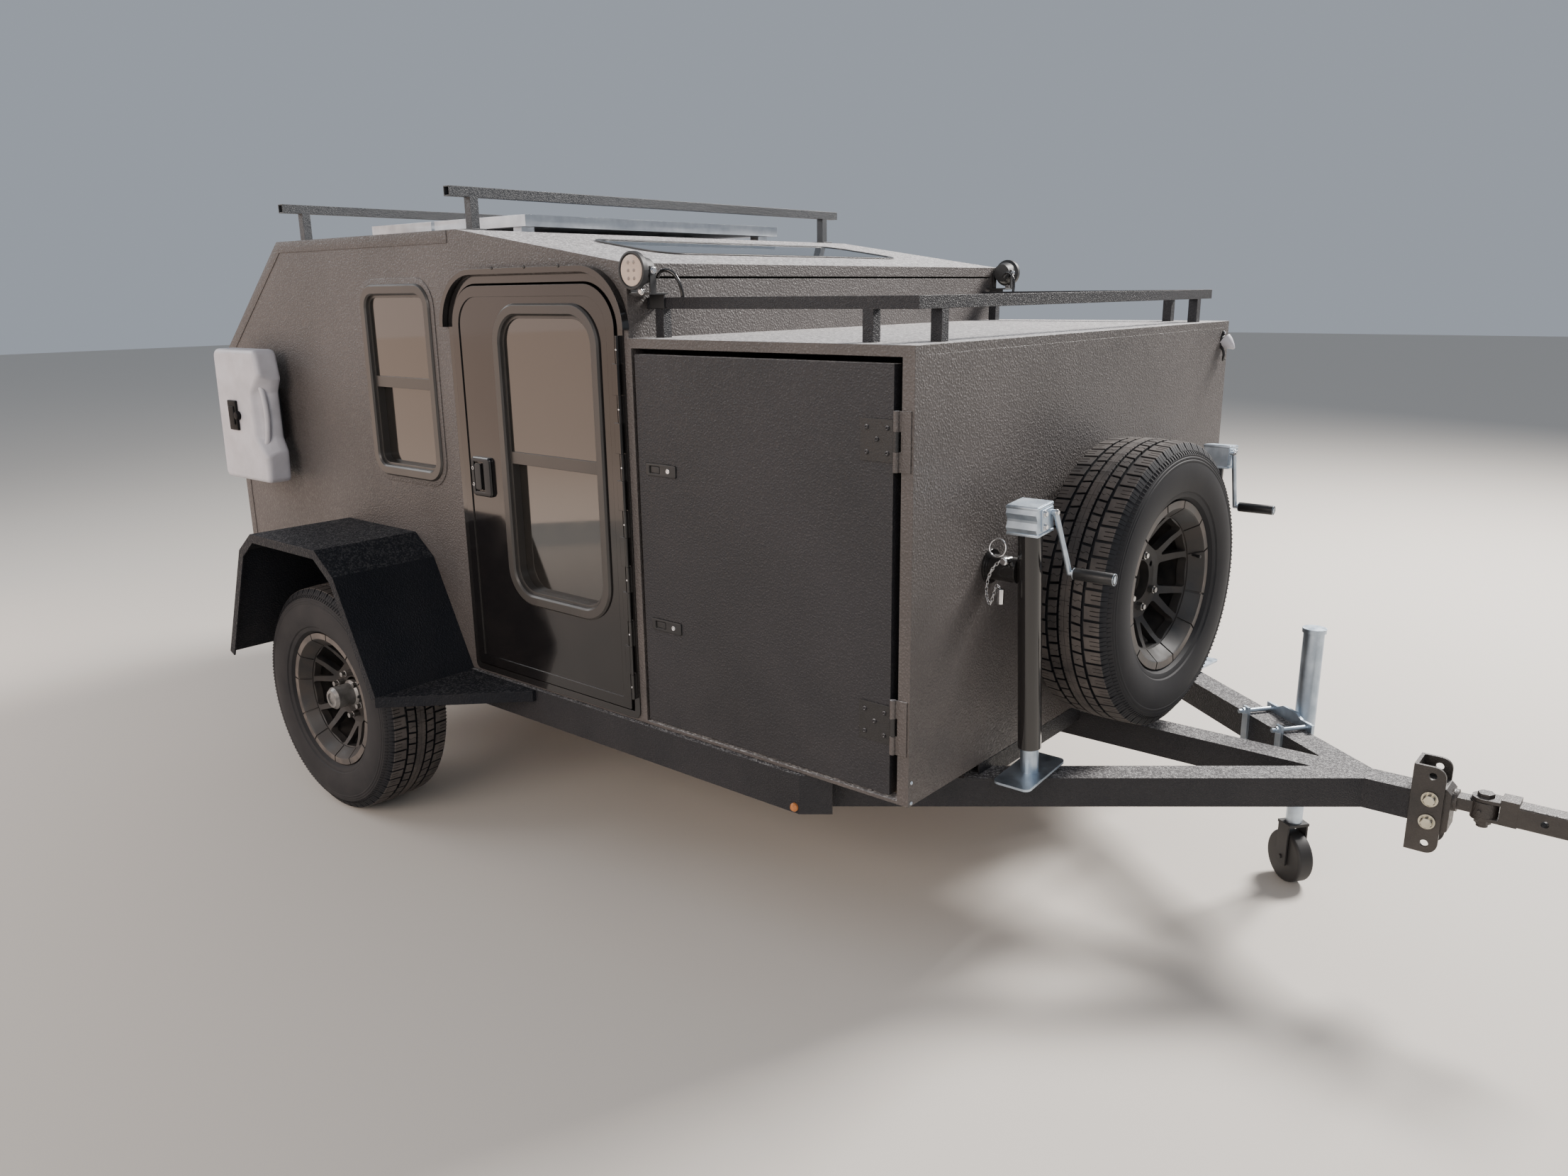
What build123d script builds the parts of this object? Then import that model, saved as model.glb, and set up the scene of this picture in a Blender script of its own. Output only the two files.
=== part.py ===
from build123d import *
import math
import os

# A squared teardrop camping trailer, standing as it parks: on its two road wheels and
# on the caster of its tongue jack. Millimetres. +X points to the coupler, +Y to the left
# side and +Z up. The origin is on the floor, under the middle of the whole length.

# Road wheels and tyres
tyre_radius = 376
tyre_width = 235
tread_width = 190
tyre_wall = 11
tyre_bulge_depth = 85
bead_radius = 203
rim_width = 190
rim_lip_radius = 223
rim_ring = 22
rim_skin = 8
wheel_pad_radius = 84
wheel_pad_thickness = 26
wheel_pad_out = 8
wheel_bore_radius = 54
stud_circle_radius = 69.85
stud_count = 6
stud_radius = 7
stud_hole_radius = 7.6
nut_size = 11
spoke_half_angle = 13
spoke_half_width = 8.5
dish_depth = 60
dish_radius = 176
rim_groove = 5
wheel_outset = 151.5
wheel_phase = 21
sill_above_axle = 141

# Body
body_width = 1829
side_thickness = 38
panel_thickness = 32
box_panel = 20
floor_thickness = 32
box_length = 858
box_height = 1029
cabin_front_height = 1212
apex_behind_box = 697
roof_height = 1320
slant_run = 443
slant_fall = 357
body_length = 3024
panel_gap = 6

# Chassis
rail_height = 102
rail_width = 51
rail_proud = 12
rail_drop = 2
tube_wall = 4
mitre_lead = 7
cross_size = 51
tongue_size = 76
tongue_angle = 38.2
tongue_meet_back = 116
tube_end_forward = 850

# Entry door, in its frame: places are measured back from the box front and up from the sill
entry_front = box_length + 17
entry_back = entry_front + 744
entry_bottom = 6
entry_top = cabin_front_height - 22
entry_corner = 140
entry_flange = 14
entry_jamb = 6
entry_proud = 10
entry_gap = 6
entry_band = 30
entry_skin_drop = 3
flange_proud = 4
entry_depth = 40
entry_hinge_inset = 13
entry_hinge_radius = 5
door_window = dict(front=entry_front + 85, back=entry_front + 530, bottom=260, top=1116, corner=110)
side_window = dict(front=entry_back + 90, back=entry_back + 468, bottom=580, top=1174, corner=70)
window_frame_width = 32
window_sash_width = 8
window_depth = 36
upper_pane_drop = 8
lower_pane_drop = 28
window_proud = 9
window_bevel = 5
glass_thickness = 5
midbar_height = 34
handle_x = entry_back - 119
handle_z = 621

# The road wheel stands behind the entry door, with room for the fender between them
wheel_clearance = 107
wheel_back = entry_back + tyre_radius + wheel_clearance

# Storage-box door
box_door_front = 52
box_door_back = box_length - 18
box_door_bottom = 17
box_door_top = box_height - 39
box_opening_front = 31
box_opening_back = box_length - 7
box_opening_bottom = 8
box_opening_top = box_height - 24
box_hinge_axis_back = 41.5
box_hinge_axis_proud = 5
box_hinge_radius = 7
box_hinge_heights = [187, 829]
box_hinge_length = 130
hinge_leaf = 84
hinge_leaf_height = 92
hinge_plate = 3
box_latch_heights = [293, 704]

# Fender: flat plates round the tyre; each has its outward direction in degrees and its gap to the tyre
fender_outset = 347.5
fender_plate = 5
fender_plates = [(156.0, 84), (125.6, 184), (90.0, 170), (53.0, 180), (26.6, 98)]
fender_rear_foot = -37
fender_front_foot = -4
fender_lip = 28
step_reach = 320
step_fold = 32

# Coupler
bracket_height = 218
bracket_width = 84
bracket_depth = 70
bracket_wall = 8
bracket_corner = 26
bracket_drop = 2.5
bracket_hole_pitch = 57.2
bracket_hole_radius = 9
bracket_hole_forward = 42
eye_rise = 25
eye_radius = 30
eye_height = 35
hitch_pin_x = 998
hitch_pin_radius = 12.5
fork_plate = 8
insert_size = 50.8
insert_end = 1180
insert_pin_back = 60
insert_pin_radius = 8.2

# Tongue jack: its pivot is on the left tongue rail, this far forward of the box front
jack_pivot_x = 516
jack_offset = 52
jack_tube_radius = 27
jack_leg_radius = 22
jack_head_reach = 290
jack_caster_radius = 75
jack_caster_width = 48

# Stabiliser jacks, stowed on pipe mounts on the box front and leaning outwards
stab_x = 105
stab_outboard = 41
stab_lean = 4.7
stab_over_tongue = 14
stab_tube_radius = 28.5
stab_leg_radius = 22.2
stab_tube_low = 70
stab_tube_high = 618
stab_mount_height = 501
stab_flange_radius = 42
stab_pipe_radius = 31
stab_foot = (98, 196)
stab_foot_thickness = 6
crank_radius = 6.5
crank_grip_radius = 14

# Roof gear
bar_size = 28
roof_bar_height = 120
roof_bar_places = [-(box_length + apex_behind_box + 41), -(body_length - slant_run - 36)]
roof_bar_inset = 9.5
roof_post_inset = 90.5
gallery_height = 99
gallery_inset = 82.5
gallery_x = -52
gallery_posts = [-170, 43 - box_length]
solar_width = 1200
solar_thickness = 35
solar_lift = 22
solar_lengths = [480, 360]
solar_gap = 20
solar_behind_bar = 44

# Fuel pack on the right wall
pack_width = 333
pack_height = 458
pack_depth = 82
pack_back = 2743
pack_mid = 738
pack_stand = 42

# Lamps
tail_lamp_depth = 22
work_lamp_x = 40 - box_length
work_lamp_z = 1193
work_lamp_radius = 46
marker_radius = 11

# Places in the model's own frame
sill = tyre_radius + sill_above_axle
front = (body_length + tail_lamp_depth - insert_end) / 2
half = body_width / 2
apex_back = box_length + apex_behind_box
roof_back = body_length - slant_run
slant_bottom_height = roof_height - slant_fall
wheel_x = front - wheel_back
wheel_mid = half + wheel_outset
wheel_face = wheel_mid + wheel_pad_out - wheel_pad_thickness
rail_out = half + rail_proud
rail_in = rail_out - rail_width
rail_top = sill - rail_drop
rail_bottom = rail_top - rail_height
tongue_top = rail_bottom + tongue_size
tongue_mid = tongue_top - tongue_size / 2
bracket_mid = tongue_mid - bracket_drop
eye_mid = bracket_mid + eye_rise
gallery_y = half - gallery_inset
fender_out = half + fender_outset

# The tongue rails run back from their meeting point to the inner faces of the side rails
tongue_slope = math.tan(math.radians(tongue_angle))
tongue_shift = tongue_size / 2 / math.cos(math.radians(tongue_angle))
tongue_meet = tube_end_forward - tongue_meet_back
tongue_side_x = tongue_meet - (rail_in - tongue_shift) / tongue_slope
mitre_back = -tongue_side_x - mitre_lead

nodes = {}


# Helpers

def block(x0, x1, y0, y1, z0, z1):
    return Pos((x0 + x1) / 2, (y0 + y1) / 2, (z0 + z1) / 2) * Box(x1 - x0, y1 - y0, z1 - z0)


def side_sheet(points, y0, y1):
    # a flat piece across the trailer; the points are (forward of the box front, above the sill)
    outline = Polyline(*[(front + x, y0, sill + z) for x, z in points], close=True)
    return extrude(make_face(outline), amount=y1 - y0, dir=(0, 1, 0))


def wall_shape(sketch, back, height, outer, thickness):
    # a piece that lies in the right side wall: the sketch's x runs forward and its y up
    plane = Plane(origin=(front - back, -outer, sill + height), x_dir=(1, 0, 0), z_dir=(0, -1, 0))
    return extrude(plane * sketch, amount=-thickness)


def arched(width, height, top_radius, bottom_radius):
    upper = RectangleRounded(width, height, top_radius)
    lower = Pos(0, -height / 4) * RectangleRounded(width, height / 2, bottom_radius)
    return upper + lower


def opening_shape(size, grow, depth_out, depth_in):
    # the rounded outline of a window, grown on every side, through the right wall
    width = size["back"] - size["front"] + 2 * grow
    height = size["top"] - size["bottom"] + 2 * grow
    sketch = RectangleRounded(width, height, max(size["corner"] + grow, 6))
    middle = (size["front"] + size["back"]) / 2
    return wall_shape(sketch, middle, (size["bottom"] + size["top"]) / 2, depth_out, depth_out - depth_in)


def entry_shape(inset, depth_out, depth_in):
    # the entry door's outline, drawn in from the frame's outer edge
    width = entry_back - entry_front - 2 * inset
    height = entry_top - entry_bottom - 2 * inset
    sketch = arched(width, height, entry_corner - inset, max(22 - inset, 4))
    middle = (entry_front + entry_back) / 2
    return wall_shape(sketch, middle, (entry_bottom + entry_top) / 2, depth_out, depth_out - depth_in)


def beam(start, end, width, height, wall):
    # a box tube between two points, lying flat
    line = Vector(*end) - Vector(*start)
    plane = Plane(origin=start, x_dir=(-line.Y, line.X, 0), z_dir=line)
    section = Rectangle(width, height)
    if wall:
        section -= Rectangle(width - 2 * wall, height - 2 * wall)
    return extrude(plane * section, amount=line.length)


def rod(start, end, radius):
    line = Vector(*end) - Vector(*start)
    return extrude(Plane(origin=start, z_dir=line) * Circle(radius), amount=line.length)


def hexagon(start, direction, size, height):
    return extrude(Plane(origin=start, z_dir=direction) * RegularPolygon(size, 6), amount=height)


def left_of(shape):
    return mirror(shape, about=Plane.XZ)


def both(shape):
    return Compound(children=[*shape.solids(), *left_of(shape).solids()])


# Chassis

def side_rail(wall):
    start = (front - body_length, -rail_out + rail_width / 2, rail_top - rail_height / 2)
    end = (front - mitre_back + rail_width * 1.3, start[1], start[2])
    rail = beam(start, end, rail_width, rail_height, wall)
    # the front end is cut in line with the tongue and closed by a plate
    turn = math.radians(tongue_angle)
    corner = Vector(front - mitre_back, -rail_out, 0)
    cut = Plane(origin=corner, x_dir=(math.cos(turn), math.sin(turn), 0), z_dir=(0, 0, 1))
    waste = extrude(cut * Pos(100, -100) * Rectangle(400, 200), amount=sill)
    inner_waste = extrude(cut * Pos(100, -100 + wall) * Rectangle(400, 200), amount=sill)
    plate = (beam(start, end, rail_width, rail_height, 0) - waste) & inner_waste
    return rail - waste + plate


def tongue_line(offset):
    # a point on the right tongue rail's centre line, by its distance forward of the box front
    return tongue_slope * (offset - tongue_side_x) - rail_in + tongue_shift


def tongue_rail(wall):
    back = tongue_side_x - 150
    start = (front + back, tongue_line(back), tongue_mid)
    end = (front + tongue_meet, 0, tongue_mid)
    rail = beam(start, end, tongue_size, tongue_size, wall)
    keep = block(front + back - tongue_size, front + tongue_meet + tongue_size, -rail_in, -tongue_size / 2,
                 tongue_top - tongue_size - 1, tongue_top + 1)
    return rail & keep


def make_chassis():
    rail = side_rail(tube_wall)
    frame = rail + left_of(rail)
    z = rail_top - cross_size / 2
    for back in [box_length + 2, 1500, 2700, body_length - cross_size / 2]:
        x = front - back
        frame += beam((x, -rail_in, z), (x, rail_in, z), cross_size, cross_size, tube_wall)
    # the front crossmember lies notched over the tongue and ends on its rails
    reach = -tongue_line(-cross_size / 2)
    x = front - cross_size / 2
    frame += beam((x, -reach, z), (x, reach, z), cross_size, cross_size, tube_wall)
    envelope = tongue_rail(0)
    centre = beam((front - box_length - 2, 0, tongue_mid), (front + 100, 0, tongue_mid), tongue_size,
                  tongue_size, 0)
    frame -= envelope + left_of(envelope) + centre
    return frame


def make_tongue():
    rail = tongue_rail(tube_wall)
    back = box_length + 2 - cross_size / 2
    centre = beam((front - back, 0, tongue_mid), (front + tube_end_forward, 0, tongue_mid), tongue_size,
                  tongue_size, tube_wall)
    return rail + left_of(rail) + centre


def make_coupler_bracket():
    # a channel with four cross holes, its flanges rounded at their front corners
    x0 = front + tube_end_forward
    low = bracket_mid - bracket_height / 2
    high = low + bracket_height
    wide = bracket_width / 2
    channel = block(x0, x0 + bracket_depth, -wide, wide, low, high)
    channel = fillet(channel.edges().filter_by(Axis.Y).group_by(Axis.X)[-1], bracket_corner)
    channel -= block(x0 + bracket_wall, x0 + bracket_depth + 1, -wide + bracket_wall, wide - bracket_wall,
                     low - 1, high + 1)
    hole_x = x0 + bracket_hole_forward
    for index in range(4):
        z = bracket_mid + (index - 1.5) * bracket_hole_pitch
        channel -= rod((hole_x, -wide - 1, z), (hole_x, wide + 1, z), bracket_hole_radius)
    return channel


def make_coupler_neck():
    # a block bolted between the bracket's flanges, with a round neck and an eye for the upright pin
    wall_x = front + tube_end_forward + bracket_wall
    hole_x = front + tube_end_forward + bracket_hole_forward
    end_x = front + tube_end_forward + bracket_depth + 14
    pin_x = front + hitch_pin_x
    inside = bracket_width / 2 - bracket_wall
    outside = bracket_width / 2
    body = block(wall_x, end_x, -inside, inside, bracket_mid - 58, bracket_mid + 58)
    body = chamfer(body.edges().filter_by(Axis.Y).group_by(Axis.X)[-1], 12)
    body += rod((end_x, 0, eye_mid), (end_x + 10, 0, eye_mid), 27)
    for side in [-1, 1]:
        z = bracket_mid + side * bracket_hole_pitch / 2
        body += rod((hole_x, -outside - 2, z), (hole_x, outside + 2, z), bracket_hole_radius - 0.2)
        for end in [-1, 1]:
            body += rod((hole_x, end * outside, z), (hole_x, end * (outside + 2.5), z), 17)
            body += hexagon((hole_x, end * (outside + 2.5), z), (0, end, 0), 14, 10)
    eye = rod((pin_x, 0, eye_mid - eye_height / 2), (pin_x, 0, eye_mid + eye_height / 2), eye_radius)
    eye += block(end_x + 8, pin_x, -20, 20, eye_mid - eye_height / 2 + 3, eye_mid + eye_height / 2 - 3)
    eye += rod((pin_x - 6, -eye_radius + 3, eye_mid - 3), (pin_x - 6, -eye_radius - 5, eye_mid - 3), 4)
    eye -= rod((pin_x, 0, eye_mid - eye_height), (pin_x, 0, eye_mid + eye_height), hitch_pin_radius + 0.05)
    return body + eye


def make_hitch_insert():
    # a fork with tapering plates over and under the eye, its pin, and the square bar that a receiver takes
    pin = front + hitch_pin_x
    back = pin + eye_radius + 3
    end = front + insert_end - 112
    slot = eye_height / 2 + 1
    plate = Circle(eye_radius - 2) + make_face(Polyline((0, -28), (end - pin, -20), (end - pin, 20), (0, 28),
                                                        close=True))
    fork = Pos(pin, 0, eye_mid + slot) * extrude(plate, amount=fork_plate)
    fork += Pos(pin, 0, eye_mid - slot - fork_plate) * extrude(plate, amount=fork_plate)
    top = eye_mid + slot + fork_plate
    bottom = eye_mid - slot - fork_plate
    fork += block(back, end, -25, 25, bottom, top + 8)
    fork += rod((pin, 0, bottom - 22), (pin, 0, top + 2), hitch_pin_radius)
    fork += hexagon((pin, 0, top), (0, 0, 1), 18, 9)
    fork += hexagon((pin, 0, bottom), (0, 0, -1), 18, 14)
    side = insert_size / 2
    bar = block(end - 1, front + insert_end, -side, side, eye_mid - side, eye_mid + side)
    bar = fillet(bar.edges().filter_by(Axis.X), 5)
    hole = front + insert_end - insert_pin_back
    bar -= rod((hole, -side - 1, eye_mid), (hole, side + 1, eye_mid), insert_pin_radius)
    return fork + bar


# Axle, hubs, wheels and tyres

arm_length = 118
arm_thickness = 24
spindle_radius = 16
beam_size = 70
drum_radius = 130
hub_cap_length = 110


def make_axle():
    beam_x = wheel_x + arm_length
    beam_z = rail_bottom - 8 - beam_size / 2
    end = rail_out + 2
    axle = beam((beam_x, -end, beam_z), (beam_x, end, beam_z), beam_size, beam_size, tube_wall + 2)
    rise = math.degrees(math.atan2(tyre_radius - beam_z, -arm_length))
    slot = SlotCenterToCenter(math.hypot(arm_length, tyre_radius - beam_z), 66)
    middle = Plane(origin=((beam_x + wheel_x) / 2, -end, (beam_z + tyre_radius) / 2), x_dir=(1, 0, 0),
                   z_dir=(0, -1, 0))
    arm = extrude(middle * Rot(0, 0, rise) * slot, amount=arm_thickness)
    arm += rod((wheel_x, -end, tyre_radius), (wheel_x, -wheel_face + 14, tyre_radius), spindle_radius)
    plate_y = -end - arm_thickness
    arm += rod((wheel_x, plate_y, tyre_radius), (wheel_x, plate_y - 5, tyre_radius), drum_radius + 2)
    for x in [beam_x - 90, beam_x + 90]:
        for inner, outer in [(rail_in + 2, rail_out - 2), (-rail_out + 2, -rail_in - 2)]:
            axle += block(min(x, beam_x), max(x, beam_x), inner, outer, beam_z + 25, rail_bottom)
    return axle + arm + left_of(arm)


def make_hub():
    # right side: brake drum, flange, studs with domed nuts, and a long dust cap; outwards is -Y
    drum_in = rail_out + 2 + arm_thickness + 5 + 6
    face = wheel_face
    bore = spindle_radius + 0.05
    profile = Polyline((bore, -drum_in), (drum_radius, -drum_in), (drum_radius, -face + 20),
                       (drum_radius - 6, -face + 13), (76, -face + 13), (76, -face), (bore, -face),
                       close=True)
    hub = revolve(make_face(profile), axis=Axis.Y)
    end = face + hub_cap_length
    cap = Polyline((0, -face), (46, -face), (46, -face - 38), (37, -face - 44), (37, -end + 10), (29, -end),
                   (20, -end), (20, -end + 4), (0, -end + 4), close=True)
    hub += revolve(make_face(cap), axis=Axis.Y)
    seat = face + wheel_pad_thickness
    for index in range(stud_count):
        turn = math.radians(360 / stud_count * index - wheel_phase)
        x = stud_circle_radius * math.cos(turn)
        z = stud_circle_radius * math.sin(turn)
        hub += rod((x, -face + 1, z), (x, -seat - 4, z), stud_radius)
        hub += hexagon((x, -seat, z), (0, -1, 0), nut_size, 22)
        hub += rod((x, -seat - 20, z), (x, -seat - 36, z), nut_size - 3)
    return Pos(wheel_x, 0, tyre_radius) * hub


def rim_window(points, radius):
    # an opening between spokes; the points are (outwards from the hub, across)
    outline = [(x, -y) for x, y in points] + list(reversed(points))
    window = fillet(make_face(Polyline(*outline, close=True)).vertices(), radius)
    plane = Plane(origin=(0, 80, 0), x_dir=(1, 0, 0), z_dir=(0, -1, 0))
    return extrude(plane * window, amount=240)


def make_rim():
    # about the Y axis at the wheel's middle plane; outwards is -Y
    w = rim_width / 2
    lip = rim_lip_radius
    bead = bead_radius
    inner = bead - rim_skin
    deep = dish_radius
    face_edge = lip - rim_ring
    front_y = -dish_depth
    section = Polyline((lip, w), (lip - 4, w), (inner, w - 14), (inner - 12, w - 40),
                       (inner - 12, front_y + 14), (deep, front_y + 12), (deep, front_y),
                       (face_edge, -w + 3), (face_edge + 3, -w), (lip, -w), (lip, -w + 8),
                       (bead, -w + 18), (bead, -w + 40), (bead - 12, -w + 56), (bead - 12, w - 46),
                       (bead, w - 28), (bead, w - 18), (lip, w - 8), close=True)
    rim = revolve(make_face(section), axis=Axis.Y)
    # the dished face that joins the mounting pad to the rim
    pad = wheel_pad_radius
    out = -wheel_pad_out
    dish = Polyline((pad - 4, out), (pad + 16, out - 4), (deep - 26, front_y + 22), (deep + 3, front_y + 1),
                    (deep + 3, front_y + 25), (deep - 24, front_y + 46), (pad + 16, out + 20),
                    (pad - 4, out + 24), close=True)
    face = revolve(make_face(dish), axis=Axis.Y)
    # each spoke splits in two, so there are small openings within spokes and large ones between them
    spread = math.radians(spoke_half_angle)
    end = deep * math.sin(spread) - spoke_half_width
    small = rim_window([(pad + 30, 3), (deep - 4, end)], 2.5)
    between = math.radians(180 / stud_count - spoke_half_angle)
    large = rim_window([(pad + 13, 32), (deep - 4, deep * math.sin(between) - spoke_half_width)], 9)
    for index in range(stud_count):
        turn = 360 / stud_count * index
        face -= Rot(0, turn, 0) * small
        face -= Rot(0, turn + 180 / stud_count, 0) * large
    rim += face
    rim += rod((0, out, 0), (0, out + wheel_pad_thickness, 0), pad)
    rim -= rod((0, -w, 0), (0, w, 0), wheel_bore_radius)
    # a groove across the rim's mouth runs out from each spoke end
    groove = Polyline((lip + 1, -w - 1), (lip + 1, -w + 4), (face_edge + 4, -w + 4), (deep + 4, front_y + 1),
                      (deep - 1, front_y - 1), (face_edge - 3, -w - 1), close=True)
    cut = extrude(make_face(groove), amount=rim_groove / 2, both=True)
    for index in range(stud_count):
        turn = 360 / stud_count * index
        for lean in [-spoke_half_angle, spoke_half_angle]:
            rim -= Rot(0, turn + lean, 0) * cut
        hole = rod((stud_circle_radius, -w, 0), (stud_circle_radius, w, 0), stud_hole_radius)
        rim -= Rot(0, turn, 0) * hole
    return rim


def make_tyre():
    w = tyre_width / 2
    t = tread_width / 2
    r = tyre_radius
    b = bead_radius + 0.3
    bulge = r - tyre_bulge_depth
    edge = rim_width / 2
    half_out = [(b, edge - 18.6), (rim_lip_radius + 0.6, edge - 8.3), (rim_lip_radius + 8, edge + 5),
                (bulge, w), (r - 30, t + 14), (r - 6, t + 5), (r, t - 8)]
    half_in = [(b, edge - 32), (rim_lip_radius + 3, edge - 16), (bulge, w - tyre_wall),
               (r - 36, t + 1), (r - 16, t - 24)]
    outline = [(x, -y) for x, y in half_out] + list(reversed(half_out)) + half_in
    outline += [(x, -y) for x, y in reversed(half_in)]
    return revolve(make_face(Polyline(*outline, close=True)), axis=Axis.Y)


# Body shell

def body_outline():
    return [(0, 0), (0, box_height), (-box_length, box_height), (-box_length, cabin_front_height),
            (-apex_back, roof_height), (-roof_back, roof_height), (-body_length, slant_bottom_height),
            (-body_length, 0)]


def make_side_wall():
    wall = side_sheet(body_outline(), -half, -half + side_thickness)
    wall -= entry_shape(entry_flange, half + 1, half - side_thickness - 1)
    wall -= opening_shape(side_window, -window_frame_width / 2, half + 1, half - side_thickness - 1)
    wall -= block(front - box_opening_back, front - box_opening_front, -half - 1, -half + side_thickness + 1,
                  sill + box_opening_bottom, sill + box_opening_top)
    return wall


hatch_bottom = 300
hatch_side_gap = 6
hatch_hinge_radius = 6
hatch_hinge_places = [-600, 0, 600]
hatch_knuckle = 60
hatch_leaf = 50
hatch_axis = (front - roof_back - 4, sill + roof_height + 7)

skylight_setback = 192
skylight_length = 336
skylight_half = 596
skylight_corner = 90
skylight_rim = 20
skylight_proud = 4


def on_slope(x, across, up):
    # a place on the front roof: distance forward of the box front, across, and above the roof
    rise = (roof_height - cabin_front_height) / apex_behind_box
    height = cabin_front_height + rise * (-x - box_length)
    return Pos(front + x, across, sill + height) * Rot(0, math.degrees(math.atan(rise)), 0) * Pos(0, 0, up)


def skylight_outline(grow):
    return RectangleRounded(skylight_length + 2 * grow, 2 * (skylight_half + grow), skylight_corner + grow)


def skylight_place(up):
    return on_slope(-box_length - skylight_setback - skylight_length / 2, 0, up)


def make_roof():
    t = panel_thickness
    inner = half - side_thickness
    # the rear edge is cut square to the hatch's slant
    lean = t * slant_fall / slant_run
    points = [(-box_length, cabin_front_height), (-apex_back, roof_height), (-roof_back, roof_height),
              (-roof_back + lean, roof_height - t), (-apex_back + 3, roof_height - t),
              (-box_length, cabin_front_height - t)]
    roof = side_sheet(points, -inner, inner)
    roof -= skylight_place(-2 * t) * extrude(skylight_outline(-skylight_rim), amount=4 * t)
    # the roof's half of the hatch hinges
    ax, az = hatch_axis
    for y in hatch_hinge_places:
        for side in [-1, 1]:
            y0, y1 = sorted([y + side * (hatch_knuckle / 2 + 0.5), y + side * (hatch_knuckle + 0.5)])
            roof += rod((ax, y0, az), (ax, y1, az), hatch_hinge_radius)
            roof += block(ax, ax + hatch_leaf, y0, y1, sill + roof_height, sill + roof_height + 3)
    return roof


def make_skylight():
    ring = skylight_outline(0) - skylight_outline(-skylight_rim)
    return skylight_place(0) * extrude(ring, amount=skylight_proud)


def make_skylight_glass():
    return skylight_place(-3) * extrude(skylight_outline(-skylight_rim), amount=glass_thickness)


def make_bulkhead():
    inner = half - side_thickness
    top = sill + cabin_front_height - panel_thickness - 6
    return block(front - box_length - panel_thickness, front - box_length, -inner, inner,
                 sill + floor_thickness, top)


def make_box_front():
    inner = half - side_thickness
    return block(front - box_panel, front, -inner, inner, sill, sill + box_height - box_panel)


def make_box_top():
    inner = half - side_thickness
    return block(front - box_length, front, -inner, inner, sill + box_height - box_panel, sill + box_height)


def make_floor():
    inner = half - side_thickness
    return block(front - body_length + panel_thickness, front - box_panel, -inner, inner, sill,
                 sill + floor_thickness)


def make_rear_panel():
    inner = half - side_thickness
    return block(front - body_length, front - body_length + panel_thickness, -inner, inner, sill,
                 sill + hatch_bottom - panel_gap)


def make_rear_hatch():
    t = panel_thickness
    inner = half - side_thickness - hatch_side_gap
    # the slant's direction, down and back
    length = math.hypot(slant_run, slant_fall)
    ux, uz = -slant_run / length, -slant_fall / length
    gap = panel_gap + 4
    top = (-roof_back + gap * ux, roof_height + gap * uz)
    lean = math.atan2(slant_fall, slant_run)
    bend = math.tan((math.pi / 2 - lean) / 2) * t
    points = [top, (-body_length, slant_bottom_height), (-body_length, hatch_bottom),
              (-body_length + t, hatch_bottom), (-body_length + t, slant_bottom_height - bend),
              (top[0] - uz * t, top[1] + ux * t)]
    hatch = side_sheet(points, -inner, inner)
    ax, az = hatch_axis
    for y in hatch_hinge_places:
        hatch += rod((ax, y - hatch_knuckle / 2, az), (ax, y + hatch_knuckle / 2, az), hatch_hinge_radius)
        hatch += Pos(front + top[0], y, sill + top[1]) * Rot(0, -math.degrees(lean), 0) * \
            Pos(-14, 0, 1.5) * Box(48, hatch_knuckle, 3)
    return hatch


# Doors and windows of the right side

def entry_axis():
    return front - entry_front - entry_hinge_inset, -(half + entry_proud + 3)


def make_door_frame():
    ring = entry_shape(0, half + flange_proud, half)
    ring -= entry_shape(entry_flange + entry_jamb, half + flange_proud + 1, half - 1)
    jamb = entry_shape(entry_flange, half, half - side_thickness)
    jamb -= entry_shape(entry_flange + entry_jamb, half + 1, half - side_thickness - 1)
    frame = ring + jamb
    x, y = entry_axis()
    for index in range(7):
        low = sill + entry_bottom + 60 + index * 150
        frame += rod((x, y, low), (x, y, low + 70), entry_hinge_radius)
        frame += block(x - 3, x + 3, y, -half - 1, low, low + 70)
    return frame


def make_entry_door():
    # a leaf with a raised band round its edge, a window opening and a plate with a paddle handle
    inset = entry_flange + entry_jamb + entry_gap
    face = half + entry_proud
    leaf = entry_shape(inset, face, face - entry_depth)
    leaf -= entry_shape(inset + entry_band, face + 1, face - entry_skin_drop)
    leaf -= opening_shape(door_window, -window_frame_width / 2, face + 50, half - 100)
    x, y = entry_axis()
    edge = front - entry_front - inset
    for index in range(6):
        low = sill + entry_bottom + 60 + 70.5 + index * 150
        leaf += rod((x, y, low), (x, y, low + 79), entry_hinge_radius)
        leaf += block(edge - 12, x, y, y + 3, low, low + 79)
    hx = front - handle_x
    hz = sill + handle_z
    base = -face + entry_skin_drop
    handle = block(hx - 46, hx + 46, base - 10, base, hz - 58, hz + 58)
    handle = fillet(handle.edges().filter_by(Axis.Y), 12)
    handle = chamfer(handle.faces().sort_by(Axis.Y)[0].edges(), 3)
    handle -= block(hx - 30, hx + 14, base - 11, base - 4, hz - 44, hz + 44)
    handle += block(hx - 26, hx + 2, base - 9, base - 3, hz - 40, hz + 40)
    return leaf + handle


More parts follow.
